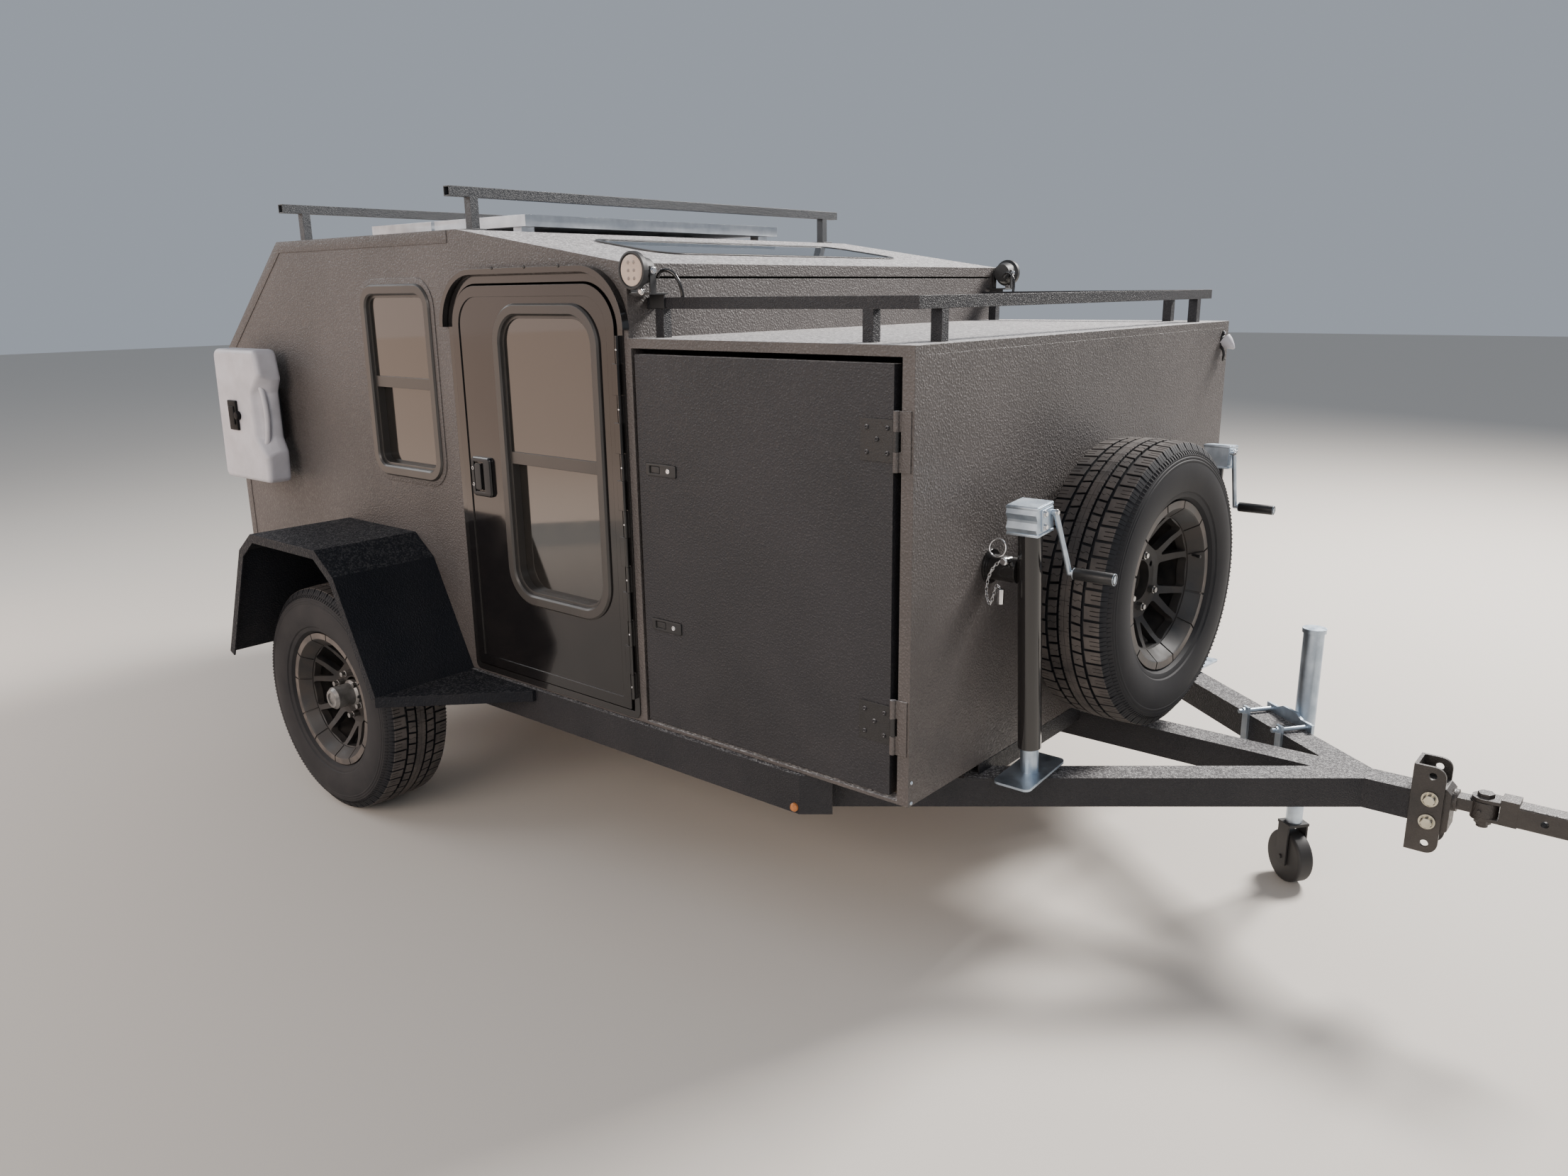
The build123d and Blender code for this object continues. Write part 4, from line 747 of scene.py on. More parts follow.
def makeGridCopies():
    # rows and columns of copies, as solar cells stand
    tree, given, out = startCopies("gridCopies", Length="Float", Width="Float", Rows="Int", Columns="Int")
    grid = addNode(tree, "GeometryNodeMeshGrid", None, SizeX=given["Length"], SizeY=given["Width"],
                   VerticesX=given["Rows"], VerticesY=given["Columns"])
    return endCopies(tree, given, out, grid.outputs["Mesh"])


ringCopies = makeRingCopies()
placedCopies = makePlacedCopies()
gridCopies = makeGridCopies()


def growCopies(tree, shape, sharp=35, carrier=None, **values):
    # run a tree and give back a plain mesh in the shape's own finish
    finish = shape.materials[0]
    source = addToScene("shape", shape)
    holder = addToScene("holder", carrier or bpy.data.meshes.new("holder"))
    modifier = holder.modifiers.new("copies", "NODES")
    modifier.node_group = tree
    values.update(Shape=source, Finish=finish)
    for socket in tree.interface.items_tree:
        if socket.in_out == "INPUT" and socket.name in values:
            modifier[socket.identifier] = values[socket.name]
    graph = bpy.context.evaluated_depsgraph_get()
    mesh = bpy.data.meshes.new_from_object(holder.evaluated_get(graph))
    bpy.data.objects.remove(holder)
    bpy.data.objects.remove(source)
    return smoothed(mesh, finish, sharp)


def copiesAt(places, shape, sharp=35):
    carrier = bpy.data.meshes.new("places")
    carrier.from_pydata([p.translation for p in places], [], [])
    turn = carrier.attributes.new("turn", "FLOAT_VECTOR", "POINT")
    turn.data.foreach_set("vector", [angle for p in places for angle in p.to_euler("XYZ")])
    return growCopies(placedCopies, shape, sharp, carrier)


print("tools ready")


# tyres: a carcass with a groove floor, and one pitch of tread blocks copied round it

tyreSize = dict(radius=376, crownDrop=1.2, crownAt=50, pitches=60, steps=120, grooveFloor=366.8, sunk=2,
                gap=6.6, chamfer=0.8, chamferDrop=0.64, centreFrom=0.3, centreHalf=14, endGap=0.35,
                notch=1.3, notchAt=9, notchDeep=4.5, notchDip=0.6,
                rowIn=20.5, rowOut=44.5, slant=1.8, sipe=1.1, sipeWave=(-2.2, 2.4, -2.4, 2.2),
                shoulderIn=52, shoulderOut=92, skew=1.5, slit=1.7, slitDeep=24, lugFoot=(353, 103.5),
                ribs=180, ribHalf=1.7, ribShape=((352.5, 100.5), (352.5, 105.4), (344.8, 112.2), (343.5, 109.5)))
# radius and distance from the middle, from the bead over the wall to the tread, and back within
wallOuter = [(203.4, 62.9), (203.4, 76.4), (214, 80.5), (224.2, 87), (230, 96.5), (233.5, 103), (240, 106),
             (246, 106.6), (249, 110.4), (262, 114.2), (278, 116.6), (292, 117.4), (306, 117), (318, 115.6),
             (324, 114.2), (325.5, 115), (328.5, 114.6), (330, 113), (332, 112.7), (333.5, 113.4),
             (336.5, 112.8), (338, 111.2), (340, 110.8), (341.5, 111.4), (344, 110.2), (348, 107), (353, 102),
             (360, 97.5), (364.5, 92), (366.4, 80), (366.8, 60), (366.8, 20)]
wallInner = [(356, 40), (350, 84), (336, 100), (291, 106.5), (240, 92), (226, 79)]


def crownRadius(size, across):
    return size["radius"] - size["crownDrop"] * (across / size["crownAt"]) ** 2


def onTread(size, radius, arc, across):
    turn = arc / size["radius"]
    return Vector((radius * cos(turn), radius * sin(turn), across)) * mm


def drawnIn(outline, distance):
    # an outline moved inwards; it runs anticlockwise
    moved = []
    for index, point in enumerate(outline):
        here = Vector(point)
        first = (here - Vector(outline[index - 1])).normalized()
        second = (Vector(outline[(index + 1) % len(outline)]) - here).normalized()
        side = Vector((-first.y, first.x))
        inward = (side + Vector((-second.y, second.x))).normalized()
        moved.append(here + inward * distance / max(inward.dot(side), 0.4))
    return moved


def addBlock(bm, size, side, ahead, outline):
    # a tread block; points at the shoulder's outer edge run down onto the wall
    outline = [(arc + ahead, across) for arc, across in outline]
    low, middle = [], []
    for arc, across in outline:
        outside = across >= size["shoulderOut"] - 0.1
        radius, reach = size["lugFoot"] if outside else (size["grooveFloor"] - size["sunk"], across)
        low.append(bm.verts.new(onTread(size, radius, arc, side * reach)))
        edge = crownRadius(size, across) - size["chamferDrop"]
        middle.append(bm.verts.new(onTread(size, edge, arc, side * across)))
    top = [bm.verts.new(onTread(size, crownRadius(size, across), arc, side * across))
           for arc, across in drawnIn(outline, size["chamfer"])]
    stack(bm, [low, middle, top])


def treadPitch(size, finish):
    bm = bmesh.new()
    pitch = 2 * pi * size["radius"] / size["pitches"]
    long = (pitch - size["gap"]) / 2
    for side, rowAhead, shoulderAhead in ((1, pitch / 3, 0), (-1, 0, pitch / 2)):
        # half of the centre rib, with notches in its edge
        end, near, far = pitch / 2 - size["endGap"], size["notchAt"], size["notchAt"] + size["notch"]
        start, edge = size["centreFrom"], size["centreHalf"]
        dip, deep = edge - size["notchDip"], edge - size["notchDeep"]
        addBlock(bm, size, side, 0, [
            (-end, start), (end, start), (end, edge), (far, dip), (far, deep), (near, deep), (near, edge),
            (-near, dip), (-near, deep), (-far, deep), (-far, edge), (-end, dip)])
        # a square block, cut in two by a wavy sipe
        inner, outer, slant, sipe = size["rowIn"], size["rowOut"], size["slant"], size["sipe"] / 2
        third = (outer - inner) / 3
        wave = list(zip(size["sipeWave"], (inner, inner + third, outer - third, outer)))
        addBlock(bm, size, side, rowAhead, [(long - slant, inner), (long + slant, outer)]
                 + [(x + sipe, z) for x, z in reversed(wave)])
        addBlock(bm, size, side, rowAhead, [(-long + slant, outer), (-long - slant, inner)]
                 + [(x - sipe, z) for x, z in wave])
        # shoulder block with three fingers
        inner, outer, slit = size["shoulderIn"], size["shoulderOut"], size["slit"]
        cut = outer - size["slitDeep"]
        near = (long - slit) / 3
        far = near + slit
        addBlock(bm, size, side, shoulderAhead, [
            (-long, inner), (long, inner + size["skew"]), (long, outer), (far, outer), (far, cut), (near, cut),
            (near, outer), (-near, outer), (-near, cut), (-far, cut), (-far, outer), (-long, outer)])
    return meshOf(bm, finish, 25)


def wallRib(size, finish):
    # a thin rib that runs down from the shoulder on each wall
    bm = bmesh.new()
    for side in (-1, 1):
        stack(bm, [[bm.verts.new(onTread(size, r, arc * r / size["radius"], side * z)) for r, z in size["ribShape"]]
                   for arc in (-size["ribHalf"], size["ribHalf"])])
    return meshOf(bm, finish, 25)


def tyreMesh(size, finish, stand):
    bm = bmesh.new()
    profile = wallOuter + [(r, -z) for r, z in reversed(wallOuter)] + [(r, -z) for r, z in reversed(wallInner)]
    addTurned(bm, Matrix.Identity(4), profile + wallInner, size["steps"], closed=True)
    tread = growCopies(ringCopies, treadPitch(size, finish), 25, Count=size["pitches"])
    ribs = growCopies(ringCopies, wallRib(size, finish), 25, Count=size["ribs"])
    mesh = joined([meshOf(bm, finish, 40), tread, ribs], 28)
    mesh.transform(stand)
    return mesh


valveSize = dict(turn=15, radius=188, along=62, lean=-16)


def valveMesh(size, stand):
    # rubber stem with its cap, leaning out through the rim
    bm = bmesh.new()
    foot = stand @ turned(size["turn"], "Z") @ shift(size["radius"], 0, size["along"]) @ turned(size["lean"], "Y")
    addTurned(bm, foot, [(0, -8), (6, -8), (6, 0), (4.2, 5), (3.4, 14), (3.4, 24), (4.4, 24.5), (4.4, 33),
                         (3.2, 34.5), (0, 34.5)], 16)
    return meshOf(bm, gripRubber)


for side, body, axle in wheels:
    rubber = nodes[side + "_tyre"].material_slots[0].material
    tyre = tyreMesh(tyreSize, rubber, standOn(axle["Centre"], axle["Outward"]))
    settle(side + "_tyre_tread", tyre, body, "tyre", side + "_tyre")
for side, body, axle in wheels:
    settle(side + "_valve", valveMesh(valveSize, standOn(axle["Centre"], axle["Outward"])), body, "black_trim")
print("tyres made")


# body: overlay strips, window flange, latches, hinges and screws

origin = Matrix.Identity(4)
stripSize = dict(line=((-1600, 1319), (-2580.5, 1319), (-3023, 963), (-3023, 2)), width=35,
                 thick=2, edge=0.6)


def stripOutline(points, width):
    # a band that follows a line of points, its other edge moved to the left
    inner = []
    for index, point in enumerate(points):
        near = [Vector(p) for p in points[max(index - 1, 0):index + 2]]
        sides = [Vector((a.y - b.y, b.x - a.x)).normalized() for a, b in zip(near, near[1:])]
        middle = sum(sides, Vector((0, 0))).normalized()
        inner.append(Vector(point) + middle * width / middle.dot(sides[0]))
    return [Vector(p) for p in points] + inner[::-1]


strip = stripOutline(stripSize["line"], stripSize["width"])
settlePair("edge_strip", slab([strip], stripSize["thick"], stripSize["edge"], wallCoat, wallPlace(0, 0), 1),
           "body_paint")

flangeSize = dict(low=(-2087, 580), high=(-1709, 1174), corner=70, out=17, under=3, thick=2.4, edge=0.8)


def windowFlange(size):
    (back, bottom), (ahead, top) = size["low"], size["high"]
    outer, inner = (rectangle((back - grow, bottom - grow), (ahead + grow, top + grow), size["corner"] + grow, 10)
                    for grow in (size["out"], -size["under"]))
    return slab([outer, inner[::-1]], size["thick"], size["edge"], wallCoat, wallPlace(0, 0), 2)


settlePair("window_flange", windowFlange(flangeSize), "body_paint")

# a panel has a length, a height and a corner, and perhaps its middle
latchSize = dict(middle=-759, heights=(293, 704), proud=1, plate=(106, 32, 6), pocket=(38, 20, 3),
                 paddle=(34, 16, 2), pocketAt=-22, rim=2.2, edge=0.8, sunk=-2.2, tilt=-4, paddleThick=2.6,
                 keyAhead=26, keyProud=3, keyRadius=6.5)


def panel(wide, high, corner, middle=0):
    return rectangle((middle - wide / 2, -high / 2), (middle + wide / 2, high / 2), corner)


def latchMesh(size):
    parts = []
    plate = [panel(*size["plate"]), panel(*size["pocket"], size["pocketAt"])[::-1]]
    for up in size["heights"]:
        spot = wallPlace(size["middle"], up, size["proud"])
        sunk = spot @ shift(size["pocketAt"], 0, size["sunk"]) @ turned(size["tilt"], "Y")
        parts.append(slab(plate, size["rim"], size["edge"], partBlack, spot, 2))
        parts.append(slab([panel(*size["paddle"])], size["paddleThick"], size["edge"], partBlack, sunk, 2))
    return joined(parts)


def lockShape(r):
    # a round key lock: a rim, a sunk face and the slot
    bm = bmesh.new()
    addTurned(bm, origin, [(0, -1.5), (r, -1.5), (r, 1.2), (r - 0.7, 1.9), (r - 1.6, 1.9), (r - 2, 1.1), (0, 1.1)],
              20)
    addBox(bm, origin, (-r * 0.42, -0.7, 0.6), (r * 0.42, 0.7, 1.35))
    return meshOf(bm, brightSteel)


settlePair("box_latches", latchMesh(latchSize), "black_trim", "box_door")
boxLocks = [wallPlace(latchSize["middle"] + latchSize["keyAhead"], up, latchSize["keyProud"])
            for up in latchSize["heights"]]
settlePair("box_locks", copiesAt(boxLocks, lockShape(latchSize["keyRadius"])), "stainless", "box_door")

handleSize = dict(ahead=-1500, up=621, proud=17, plate=(86, 110, 10), opening=(47, 91, 4, -8), rim=1.6, rimEdge=0.6,
                  paddle=(27, 76, 4), paddleAt=(-12, 0, 0.4), paddleThick=3.2, paddleEdge=1.2,
                  locks=((-1537.5, 645), (-1537.5, 597)), lockRadius=5.5)


def handleMesh(size):
    # the paddle's raised lip and a thin edge round the plate
    spot = wallPlace(size["ahead"], size["up"], size["proud"])
    outlines = [panel(*size["plate"]), panel(*size["opening"])[::-1]]
    plate = slab(outlines, size["rim"], size["rimEdge"], partBlack, spot, 2)
    grip = slab([panel(*size["paddle"])], size["paddleThick"], size["paddleEdge"], partBlack,
                spot @ shift(*size["paddleAt"]))
    return joined([plate, grip])


doorLocks = [wallPlace(ahead, up, handleSize["proud"]) for ahead, up in handleSize["locks"]]
settlePair("entry_locks", copiesAt(doorLocks, lockShape(handleSize["lockRadius"])), "stainless", "entry_door")
settlePair("entry_handle", handleMesh(handleSize), "black_trim", "entry_door")


def panScrew(r, rise, finish):
    # pan head with a round recess
    bm = bmesh.new()
    addTurned(bm, origin, [(0, -0.8), (r, -0.8), (r, rise * 0.35), (r * 0.86, rise * 0.8), (r * 0.55, rise),
                           (r * 0.42, rise), (r * 0.3, rise * 0.35), (0, rise * 0.35)], 14)
    return meshOf(bm, finish)


def hexHead(across, rise, washer, finish):
    # hexagon head with a chamfered top on its washer
    bm = bmesh.new()
    r, top = across / sqrt(3), rise + across * 0.06
    addTurned(bm, origin, [(0, -0.5), (washer, -0.5), (washer, 1.6), (across / 2, 1.6)], 24)
    addTurned(bm, origin, [(0, 1.2), (r, 1.2), (r, rise), (r * 0.84, top), (0, top)], 6)
    return meshOf(bm, finish)


def hatchLatch():
    # a turned compression latch with its wing handle
    bm = bmesh.new()
    addTurned(bm, origin, [(0, -1), (27, -1), (27, 1.5), (25, 3.2), (19, 3.2), (17.5, 1.8), (0, 1.8)], 36)
    addBox(bm, origin, (-17, -4.5, 1), (17, 4.5, 9), 2)
    return meshOf(bm, partBlack)


# each head has a radius and a rise; each spot lies ahead of the box front and above the sill
dripScrew = dict(head=(4.6, 2.6), proud=22, spots=[(ahead, 1210) for ahead in (-1371, -1230, -1089)])
hingeScrew = dict(head=(5.6, 3), proud=3, spots=[
    (ahead, hinge + up) for hinge in (187, 829)
    for ahead, up in ((-66, 27), (-120, 27), (-93, 2), (-66, -27), (-120, -27))])
hingeRivet = dict(head=(2.6, 0.9), proud=17.6, spots=[(-888, 101 + 150 * k) for k in range(7)])
cornerScrew = dict(head=(4.5, 2.2), inset=12, heights=(7, 57))
hatchSize = dict(ahead=-3024, across=560, up=348)


def wallScrews(size, finish):
    return copiesAt([wallPlace(*spot, size["proud"]) for spot in size["spots"]], panScrew(*size["head"], finish))


settlePair("drip_screws", wallScrews(dripScrew, trimBlack), "black_trim")
settlePair("hinge_screws", wallScrews(hingeScrew, boxDoorCoat), "body_paint", "box_door")
corners = [standOn(bodyPlace(0, side * (cornerScrew["inset"] - half / mm), up), (1, 0, 0))
           for side in (1, -1) for up in cornerScrew["heights"]]
settle("front_corner_screws", copiesAt(corners, panScrew(*cornerScrew["head"], zincPlate)), "root", "zinc")
settlePair("hinge_rivets", wallScrews(hingeRivet, brightSteel), "stainless")
latches = [standOn(bodyPlace(hatchSize["ahead"], side * hatchSize["across"], hatchSize["up"]), (-1, 0, 0))
           for side in (-1, 1)]
settle("hatch_latches", copiesAt(latches, hatchLatch()), "rear_hatch", "black_trim")
print("body details made")


# fuel pack: a blow-moulded shell with a hand hold at one side, and its clamping knob

packSize = dict(wide=333, high=458, stand=42, ahead=-2743, up=738, waist=26, waistFront=60,
                waistLow=-73, waistHigh=82, slope=38, corners=(26, 22, 20, 22, 22, 20, 24, 30),
                side=30, scoop=38, scoopSteps=6, plugs=((16, 198), (-14, -204)), plugOut=81.2, grip=9.5,
                gripLine=((112, -116, 60), (131, -74, 55), (138, 5, 52), (131, 84, 55), (112, 124, 60)),
                knobAt=(-38, 0, 82), knobEnd=33)


def packOutline(size, waist, inset):
    wide, high = size["wide"] / 2, size["high"] / 2
    low, top, slope = size["waistLow"], size["waistHigh"], size["slope"] + waist * 0.35
    points = [(-wide, -high), (wide - 6, -high), (wide, low - slope), (wide - waist, low), (wide - waist, top),
              (wide, top + slope), (wide - 18, high), (-wide + 14, high)]
    return drawnIn(roundedPath(points, size["corners"], 6), inset)


def packShell(size, place):
    bm = bmesh.new()
    waist, full, side = size["waist"], size["waistFront"], size["side"]
    # each layer has a depth, the waist's own depth there, and how far its outline is drawn in
    layers = [(0, waist, 9), (2, waist, 4), (7, waist, 1), (14, waist, 0), (side, waist, 0)]
    for share in (k / size["scoopSteps"] for k in range(1, size["scoopSteps"] + 1)):
        layers.append((side + size["scoop"] * share, waist + (full - waist) * share ** 1.4, 0.6 * share))
    layers += [(74, full + 2, 2.4), (78.5, full + 3, 6.5), (81, full + 3, 11.5), (82, full + 3, 17)]
    stack(bm, [[bm.verts.new(place @ (Vector((x, y, depth)) * mm)) for x, y in packOutline(size, cut, inset)]
               for depth, cut, inset in layers])
    # moulded plugs near its top and foot
    for x, y in size["plugs"]:
        addTurned(bm, place @ shift(x, y, size["plugOut"]),
                  [(0, -2), (13, -2), (13, 0.2), (11.5, 1.2), (8.5, 1.2), (7.5, 0.4), (0, 0.4)], 24)
    # the grip bows over the scooped side
    addSweep(bm, smoothRoute([place @ (Vector(p) * mm) for p in size["gripLine"]], 6), size["grip"], 14)
    return meshOf(bm, whitePlastic, 50)


def packKnob(size, place):
    # a T-shaped clamp: the bar, the turning hub and its round end
    bm = bmesh.new()
    foot = place @ shift(*size["knobAt"])
    addBox(bm, foot, (-30, -52, -1), (30, 52, 8.5), 3, 3)
    addBox(bm, foot, (-18, -32, 6), (18, 32, 12.5), 2.5, 3)
    addTurned(bm, foot @ shift(size["knobEnd"], 0, 0),
              [(0, -1), (15, -1), (15, 10), (13, 13.5), (9, 14.6), (0, 14.6)], 28)
    return meshOf(bm, knobBlack)


packPlace = wallPlace(packSize["ahead"], packSize["up"], packSize["stand"])
settle("fuel_pack_shell", packShell(packSize, packPlace), "root", "white_plastic", "fuel_pack")
settle("fuel_pack_knob", packKnob(packSize, packPlace), "root", "black_trim")
print("fuel pack made")


# solar cells in their frames; each field has a length and a number of rows

solarSize = dict(up=1375, start=-1640, fields=((480, 3), (360, 2)), gap=20, border=14, width=1200,
                 columns=8, cellGap=4, clip=14, cellThick=0.5, sheet=0.7, sheetEdge=0.1, sheetUp=0.05)


def cellShape(length, width, clip, thick):
    bm = bmesh.new()
    x, y = length / 2, width / 2
    outline = [(-x + clip, -y), (x - clip, -y), (x, -y + clip), (x, y - clip), (x - clip, y), (-x + clip, y),
               (-x, y - clip), (-x, -y + clip)]
    stack(bm, [[bm.verts.new(Vector((a, b, up)) * mm) for a, b in outline] for up in (0, thick)])
    return meshOf(bm, solarCell)


def solarField(size):
    start, sheets, cells = size["start"], [], []
    for length, rows in size["fields"]:
        inside, wide = length - 2 * size["border"], size["width"] - 2 * size["border"]
        middle = Matrix.Translation(bodyPlace(start - length / 2, 0, size["up"]))
        x, y = inside / 2, wide / 2
        sheets.append(slab([[(-x, -y), (x, -y), (x, y), (-x, y)]], size["sheet"], size["sheetEdge"], panelSheet,
                           middle @ shift(0, 0, size["sheetUp"]), 0))
        stepX, stepY = inside / rows, wide / size["columns"]
        cell = cellShape(stepX - size["cellGap"], stepY - size["cellGap"], size["clip"], size["cellThick"])
        field = growCopies(gridCopies, cell, Length=(inside - stepX) * mm, Width=(wide - stepY) * mm, Rows=rows,
                           Columns=size["columns"])
        field.transform(middle @ shift(0, 0, size["sheet"]))
        cells.append(field)
        start -= length + size["gap"]
    return joined(sheets), joined(cells)


solarSheets, solarCells = solarField(solarSize)
settle("solar_sheets", solarSheets, "root", "white_plastic")
settle("solar_cells", solarCells, "root", "solar_cell")
print("solar panels filled")


# work lamps: ribbed lens over six small lights, a bent arm behind, and bolts

lampSize = dict(ahead=-818, up=1193, proud=17, lens=37.4, rim=2, ribs=17, ribHalf=0.7, ribUp=(1, 2.6),
                dots=[(x, y) for x in (-10, 10) for y in (-19, 0, 19)], dotUp=1.9, boltHead=(13, 6, 9),
                sideBolt=37, boltIn=19, footBolt=(-808, 1143, -5), arm=4.5,
                armLine=((-800, -862, 1178), (-790, -860, 1190), (-775, -855, 1193), (-757, -848, 1184),
                         (-746, -842, 1165), (-742, -838, 1145), (-742, -834, 1128)))


def lampLensMesh(size, place):
    bm = bmesh.new()
    r = size["lens"]
    addTurned(bm, place, [(0, -0.5), (r, -0.5), (r, 1), (r - 1.5, 1.6), (0, 1.9)], 48)
    for k in range(size["ribs"]):
        y = (k - (size["ribs"] - 1) / 2) * 2 * r / (size["ribs"] + 1)
        reach = sqrt(max((r - size["rim"]) ** 2 - y ** 2, 1))
        low, high = size["ribUp"]
        addBox(bm, place, (-reach, y - size["ribHalf"], low), (reach, y + size["ribHalf"], high))
    return meshOf(bm, lampLens)


def lampDotsMesh(size, place):
    bm = bmesh.new()
    for x, y in size["dots"]:
        addTurned(bm, place @ shift(x, y, size["dotUp"]), [(0, -0.5), (4.6, -0.5), (4.6, 0.5), (3.6, 1), (0, 1)],
                  18)
    return meshOf(bm, lampDot)


def lampArmMesh(size):
    bm = bmesh.new()
    addSweep(bm, smoothRoute([bodyPlace(*p) for p in size["armLine"]]), size["arm"], 12)
    return meshOf(bm, tubeBlack)


lampPlace = wallPlace(lampSize["ahead"], lampSize["up"], lampSize["proud"])
settlePair("lamp_lens", lampLensMesh(lampSize, lampPlace), "lamp_amber")
settlePair("lamp_dots", lampDotsMesh(lampSize, lampPlace), "black_trim")
settlePair("lamp_arm", lampArmMesh(lampSize), "black_gloss")
lampBolts = [standOn(bodyPlace(lampSize["ahead"] + side * lampSize["sideBolt"], lampSize["boltIn"] - half / mm,
                               lampSize["up"]), (side, 0, 0)) for side in (-1, 1)]
lampBolts.append(wallPlace(*lampSize["footBolt"]))
settlePair("lamp_bolts", copiesAt(lampBolts, hexHead(*lampSize["boltHead"], brightSteel), 20), "stainless")

hoodSize = dict(place=(0, 868, 966), above=26, tip=12, lean=38, hook=4,
                hookLine=((3, 856, 948), (10, 852, 938), (14, 850, 925), (12, 853, 914), (10, 860, 908),
                          (12, 866, 911)))


def hoodLamp(size):
    # a small lamp with a conical hood on the box front, and the hook below it
    base = standOn(bodyPlace(*size["place"]), (1, 0, 0))
    black, pale = bmesh.new(), bmesh.new()
    addTurned(black, base, [(0, 0), (21, 0), (21, 3), (17, 7), (9, 8), (9, 16), (0, 16)], 28)
    addTurned(black, base @ shift(0, size["above"], 0), [(0, 0), (8, 0), (8, 3), (5, 6), (0, 6)], 18)
    addSweep(black, smoothRoute([bodyPlace(*p) for p in size["hookLine"]]), size["hook"], 10)
    addTurned(pale, base @ shift(0, 0, size["tip"]) @ turned(size["lean"], "X"),
              [(22, -9), (23.5, -8), (20, 6), (12, 22), (4, 34), (0, 36), (0, 33), (3, 31), (11, 19), (18.5, 5)], 32,
              closed=True)
    addTurned(pale, base @ shift(0, size["above"], 6), [(0, -1), (4.5, -1), (4, 1.5), (0, 2.4)], 14)
    return meshOf(black, partBlack), meshOf(pale, whitePlastic)


hoodBase, hoodShade = hoodLamp(hoodSize)
settle("hood_lamp_base", hoodBase, "root", "black_trim")
settle("hood_lamp_shade", hoodShade, "root", "white_plastic")
print("lamps made")


# stabiliser jacks: crank grips, gearbox straps and bolts, and the locking pin with its chain

jackSize = dict(place=(105, -536, -14), lean=4.7, strapHeights=(621, 683), strapHalf=3, strapLow=(-32.5, -54.5),
                strapHigh=(48, 22.5), strapEdge=1, cover=((45, -34, 628), (50, 18, 678)), coverEdge=1.5,
                bolts=((50, -24, 668), (50, -24, 638), (60, 12, 664)), boltHead=(11, 5, 8))
# each grip has a place across, a drop from the shaft and a length
gripSize = dict(ahead=80, across=12, shaft=664, radius=14.4, bore=7, covered=12.8,
                right=(55, 158, 112), left=(-37, 160, 116))
jackPlace = Matrix.Translation(bodyPlace(*jackSize["place"])) @ turned(jackSize["lean"], "X")


def crankGrip(size, across, drop, length):
    # a rubber sleeve on the crank's arm
    bm = bmesh.new()
    r, bore, end = size["radius"], size["bore"], length - size["covered"]
    place = jackPlace @ shift(size["ahead"], size["across"] + across, size["shaft"] - drop) @ turned(90, "Y")
    addTurned(bm, place, [(bore, -1), (r - 1, -1), (r, 0.5), (r, end - 3), (r - 1, end - 1.2), (r - 3, end - 0.2),
                          (9.5, end - 0.2), (9.5, end - 2.5), (bore, end - 2.5)], 28, closed=True)
    return meshOf(bm, gripRubber)


def gearStraps(size):
    # folded straps round the gearbox, and its end cover
    bm = bmesh.new()
    for up in size["strapHeights"]:
        addBox(bm, jackPlace, (*size["strapLow"], up - size["strapHalf"]),
               (*size["strapHigh"], up + size["strapHalf"]), size["strapEdge"])
    addBox(bm, jackPlace, *size["cover"], size["coverEdge"])
    return meshOf(bm, zincPlate)


settle("right_crank_grip", crankGrip(gripSize, *gripSize["right"]), "root", "black_gloss")
settle("left_crank_grip", otherSide(crankGrip(gripSize, *gripSize["left"])), "root", "black_gloss")
settlePair("gear_straps", gearStraps(jackSize), "zinc")
gearBolts = [jackPlace @ shift(*spot) @ turned(90, "Y") for spot in jackSize["bolts"]]
settlePair("gear_bolts", copiesAt(gearBolts, hexHead(*jackSize["boltHead"], brightSteel), 20), "stainless")

pinSize = dict(hub=(62, -620, 530), ring=(46, -628, 560), ringRadius=21, ringLean=0.25, wire=2,
               cylinder=(58, -628, 428), linkHalf=3.1, linkLong=2.6, linkWire=1.05, linkPitch=8.6, flat=0.01,
               chain=((52, -630, 528), (36, -630, 510), (24, -630, 480), (22, -630, 446), (32, -630, 424),
                      (40, -630, 446), (48, -630, 470), (58, -630, 466)))


def linkShape(size):
    # one chain link, a closed ring drawn long
    bm = bmesh.new()
    rings = []
    for a in turns(14):
        side = Vector((cos(a), sin(a), 0))
        middle = size["linkHalf"] * side
        middle.y += size["linkLong"] * ((side.y > size["flat"]) - (side.y < -size["flat"]))
        rings.append(wireRing(bm, middle * mm, size["linkWire"], side, Vector((0, 0, 1)), 6))
    stack(bm, rings, closed=True)
    return meshOf(bm, brightSteel)


def pinMesh(size):
    # the pin's hub, its pull ring and the small cylinder that the chain ends on
    bm = bmesh.new()
    addTurned(bm, standOn(bodyPlace(*size["hub"]), (0, -1, 0)),
              [(0, -26), (6, -26), (6, 0), (10, 0), (10, 9), (7, 12), (0, 12)], 20)
    rings = []
    for a in turns(28):
        out = Vector((cos(a), size["ringLean"] * sin(a), sin(a))).normalized()
        spot = bodyPlace(*size["ring"]) + out * size["ringRadius"] * mm
        rings.append(wireRing(bm, spot, size["wire"], out, Vector((0, 1, 0)), 8))
    stack(bm, rings, closed=True)
    addTurned(bm, Matrix.Translation(bodyPlace(*size["cylinder"])),
              [(0, 0), (7.5, 0), (8, 1), (8, 35), (7, 36), (0, 36)], 18)
    return meshOf(bm, brightSteel)


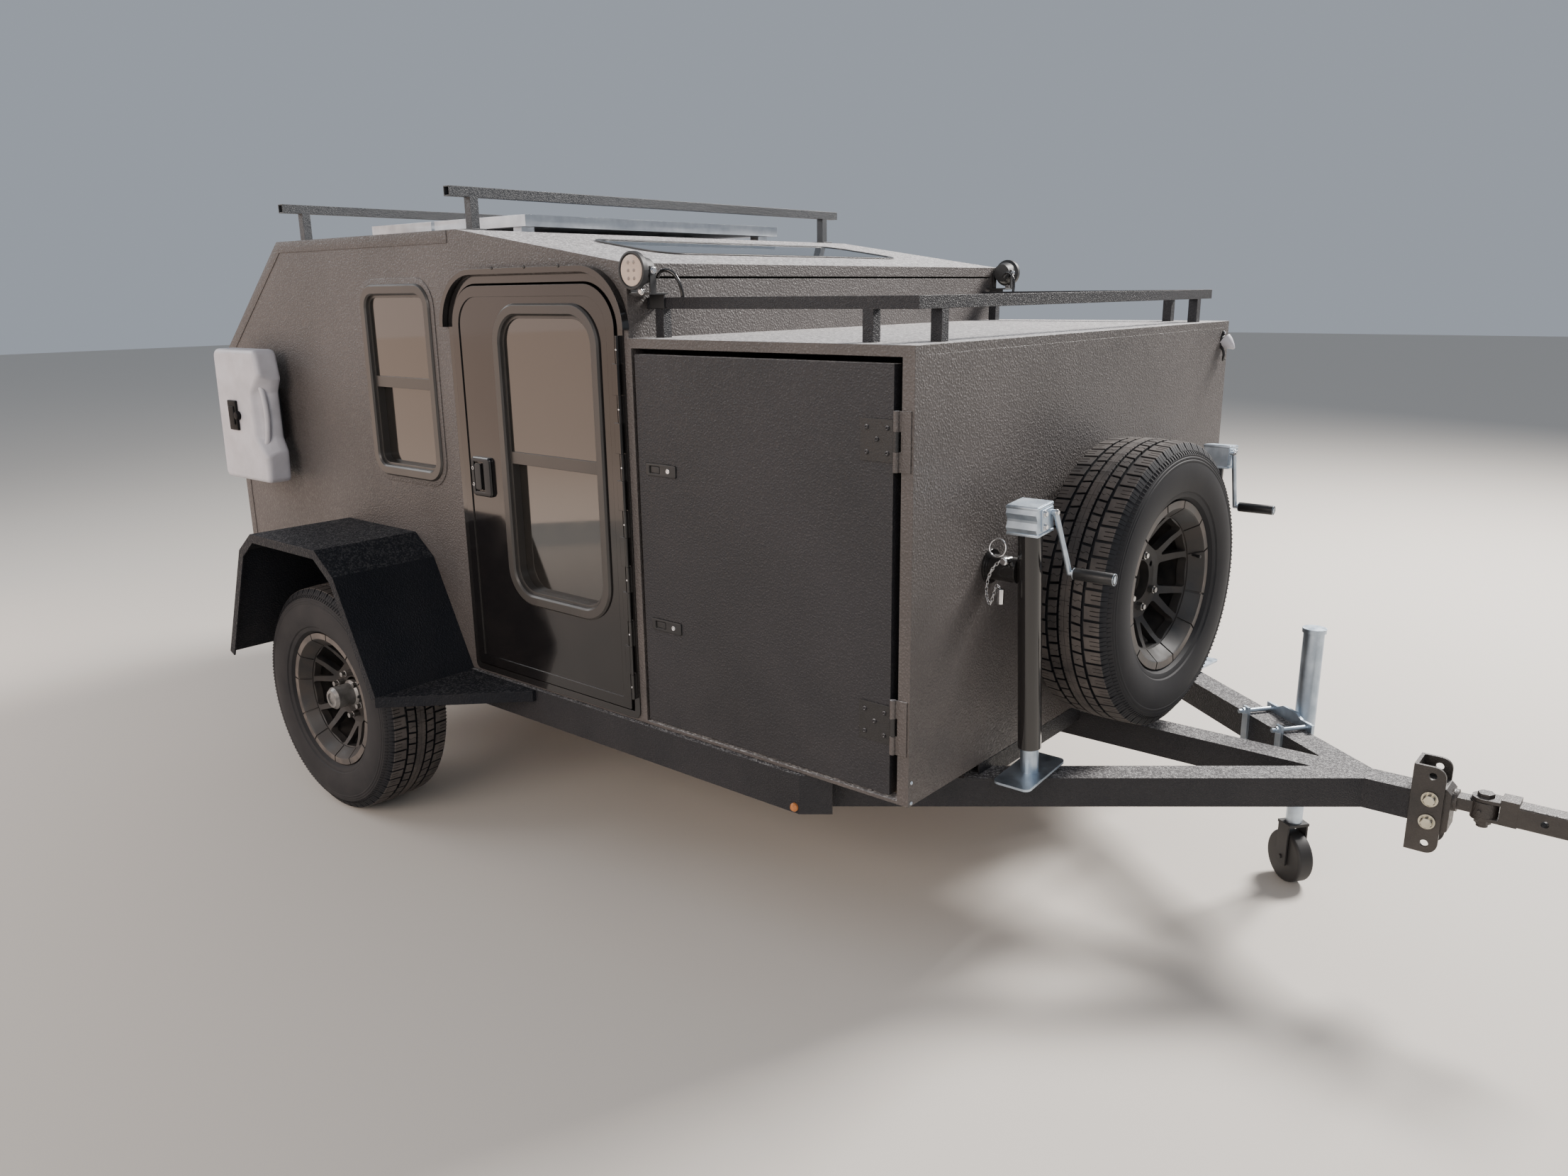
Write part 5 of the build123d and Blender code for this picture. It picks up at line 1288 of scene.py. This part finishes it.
def chainPlaces(size):
    # from the pin's hub down in a loop and up to the cylinder's end, each link turned from the last
    route = smoothRoute([bodyPlace(*p) for p in size["chain"]], 40)
    places, travelled, due = [], 0, 0
    for before, after in zip(route, route[1:]):
        if travelled >= due:
            along = (after - before).to_track_quat("Y", "Z").to_matrix().to_4x4()
            places.append(Matrix.Translation(before) @ along @ turned(90 * (len(places) % 2), "Y"))
            due += size["linkPitch"] * mm
        travelled += (after - before).length
    return places


settlePair("locking_pin", pinMesh(pinSize), "stainless")
settlePair("pin_chain", copiesAt(chainPlaces(pinSize), linkShape(pinSize)), "stainless")
print("jacks detailed")


# coupler: plated bolts through its bracket

boltSize = dict(ahead=42, apart=28.6, proud=2.5, head=(24, 11.5, 18.5))


def bracketBolts(size):
    low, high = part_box("coupler_bracket")
    spot = Vector((low.x + size["ahead"] * mm, high.y + size["proud"] * mm, (low.z + high.z) / 2))
    return [standOn((spot.x, side * spot.y, spot.z + up * mm), (0, side, 0))
            for up in (-size["apart"], size["apart"]) for side in (-1, 1)]


settle("bracket_bolts", copiesAt(bracketBolts(boltSize), hexHead(*boltSize["head"], yellowZinc), 20), "root", "zinc")
print("coupler bolts made")


# floor and studio light

def makeFloor(reach):
    mesh = bpy.data.meshes.new("studioFloor")
    mesh.from_pydata([(-reach, -reach, 0), (reach, -reach, 0), (reach, reach, 0), (-reach, reach, 0)], [],
                     [(0, 1, 2, 3)])
    mesh.materials.append(startMaterial("paleFloor", 0.75, 0, (0.62, 0.58, 0.53))[0])
    addToScene("studioFloor", mesh)


def makeLight(name, place, target, size, power, colour=(1, 1, 1)):
    data = bpy.data.lights.new(name, "AREA")
    data.shape = "RECTANGLE"
    data.size, data.size_y = size
    data.energy = power
    data.color = colour
    light = addToScene(name, data)
    aim = Vector(target) - Vector(place)
    light.matrix_world = Matrix.Translation(place) @ aim.to_track_quat("-Z", "Y").to_matrix().to_4x4()


makeFloor(40)
makeLight("keyLight", (2.6, 6, 6.5), (0, 0, 0.6), (2.5, 2.5), 1900, (1, 0.96, 0.92))
makeLight("frontFill", (6.5, -4.5, 4), (0, 0, 0.6), (5, 3), 70)
makeLight("backFill", (-6, -3.5, 4.5), (0, 0, 0.8), (5, 3), 180)
makeLight("sideFill", (front - 0.8, -7, 3.2), (front - 1.6, -half, sill + 0.6), (5, 3), 250,
          (1, 0.87, 0.77))
makeLight("warmCard", (front - 4.9, -3.6, 1.15), (front - 1.6, -half, sill + 0.7), (5, 2), 44,
          (1, 0.7, 0.52))
world = bpy.data.worlds.new("softRoom")
bpy.context.scene.world = world
world.use_nodes = True
world.node_tree.nodes["Background"].inputs["Color"].default_value = (0.8, 0.88, 1, 1)
world.node_tree.nodes["Background"].inputs["Strength"].default_value = 0.42
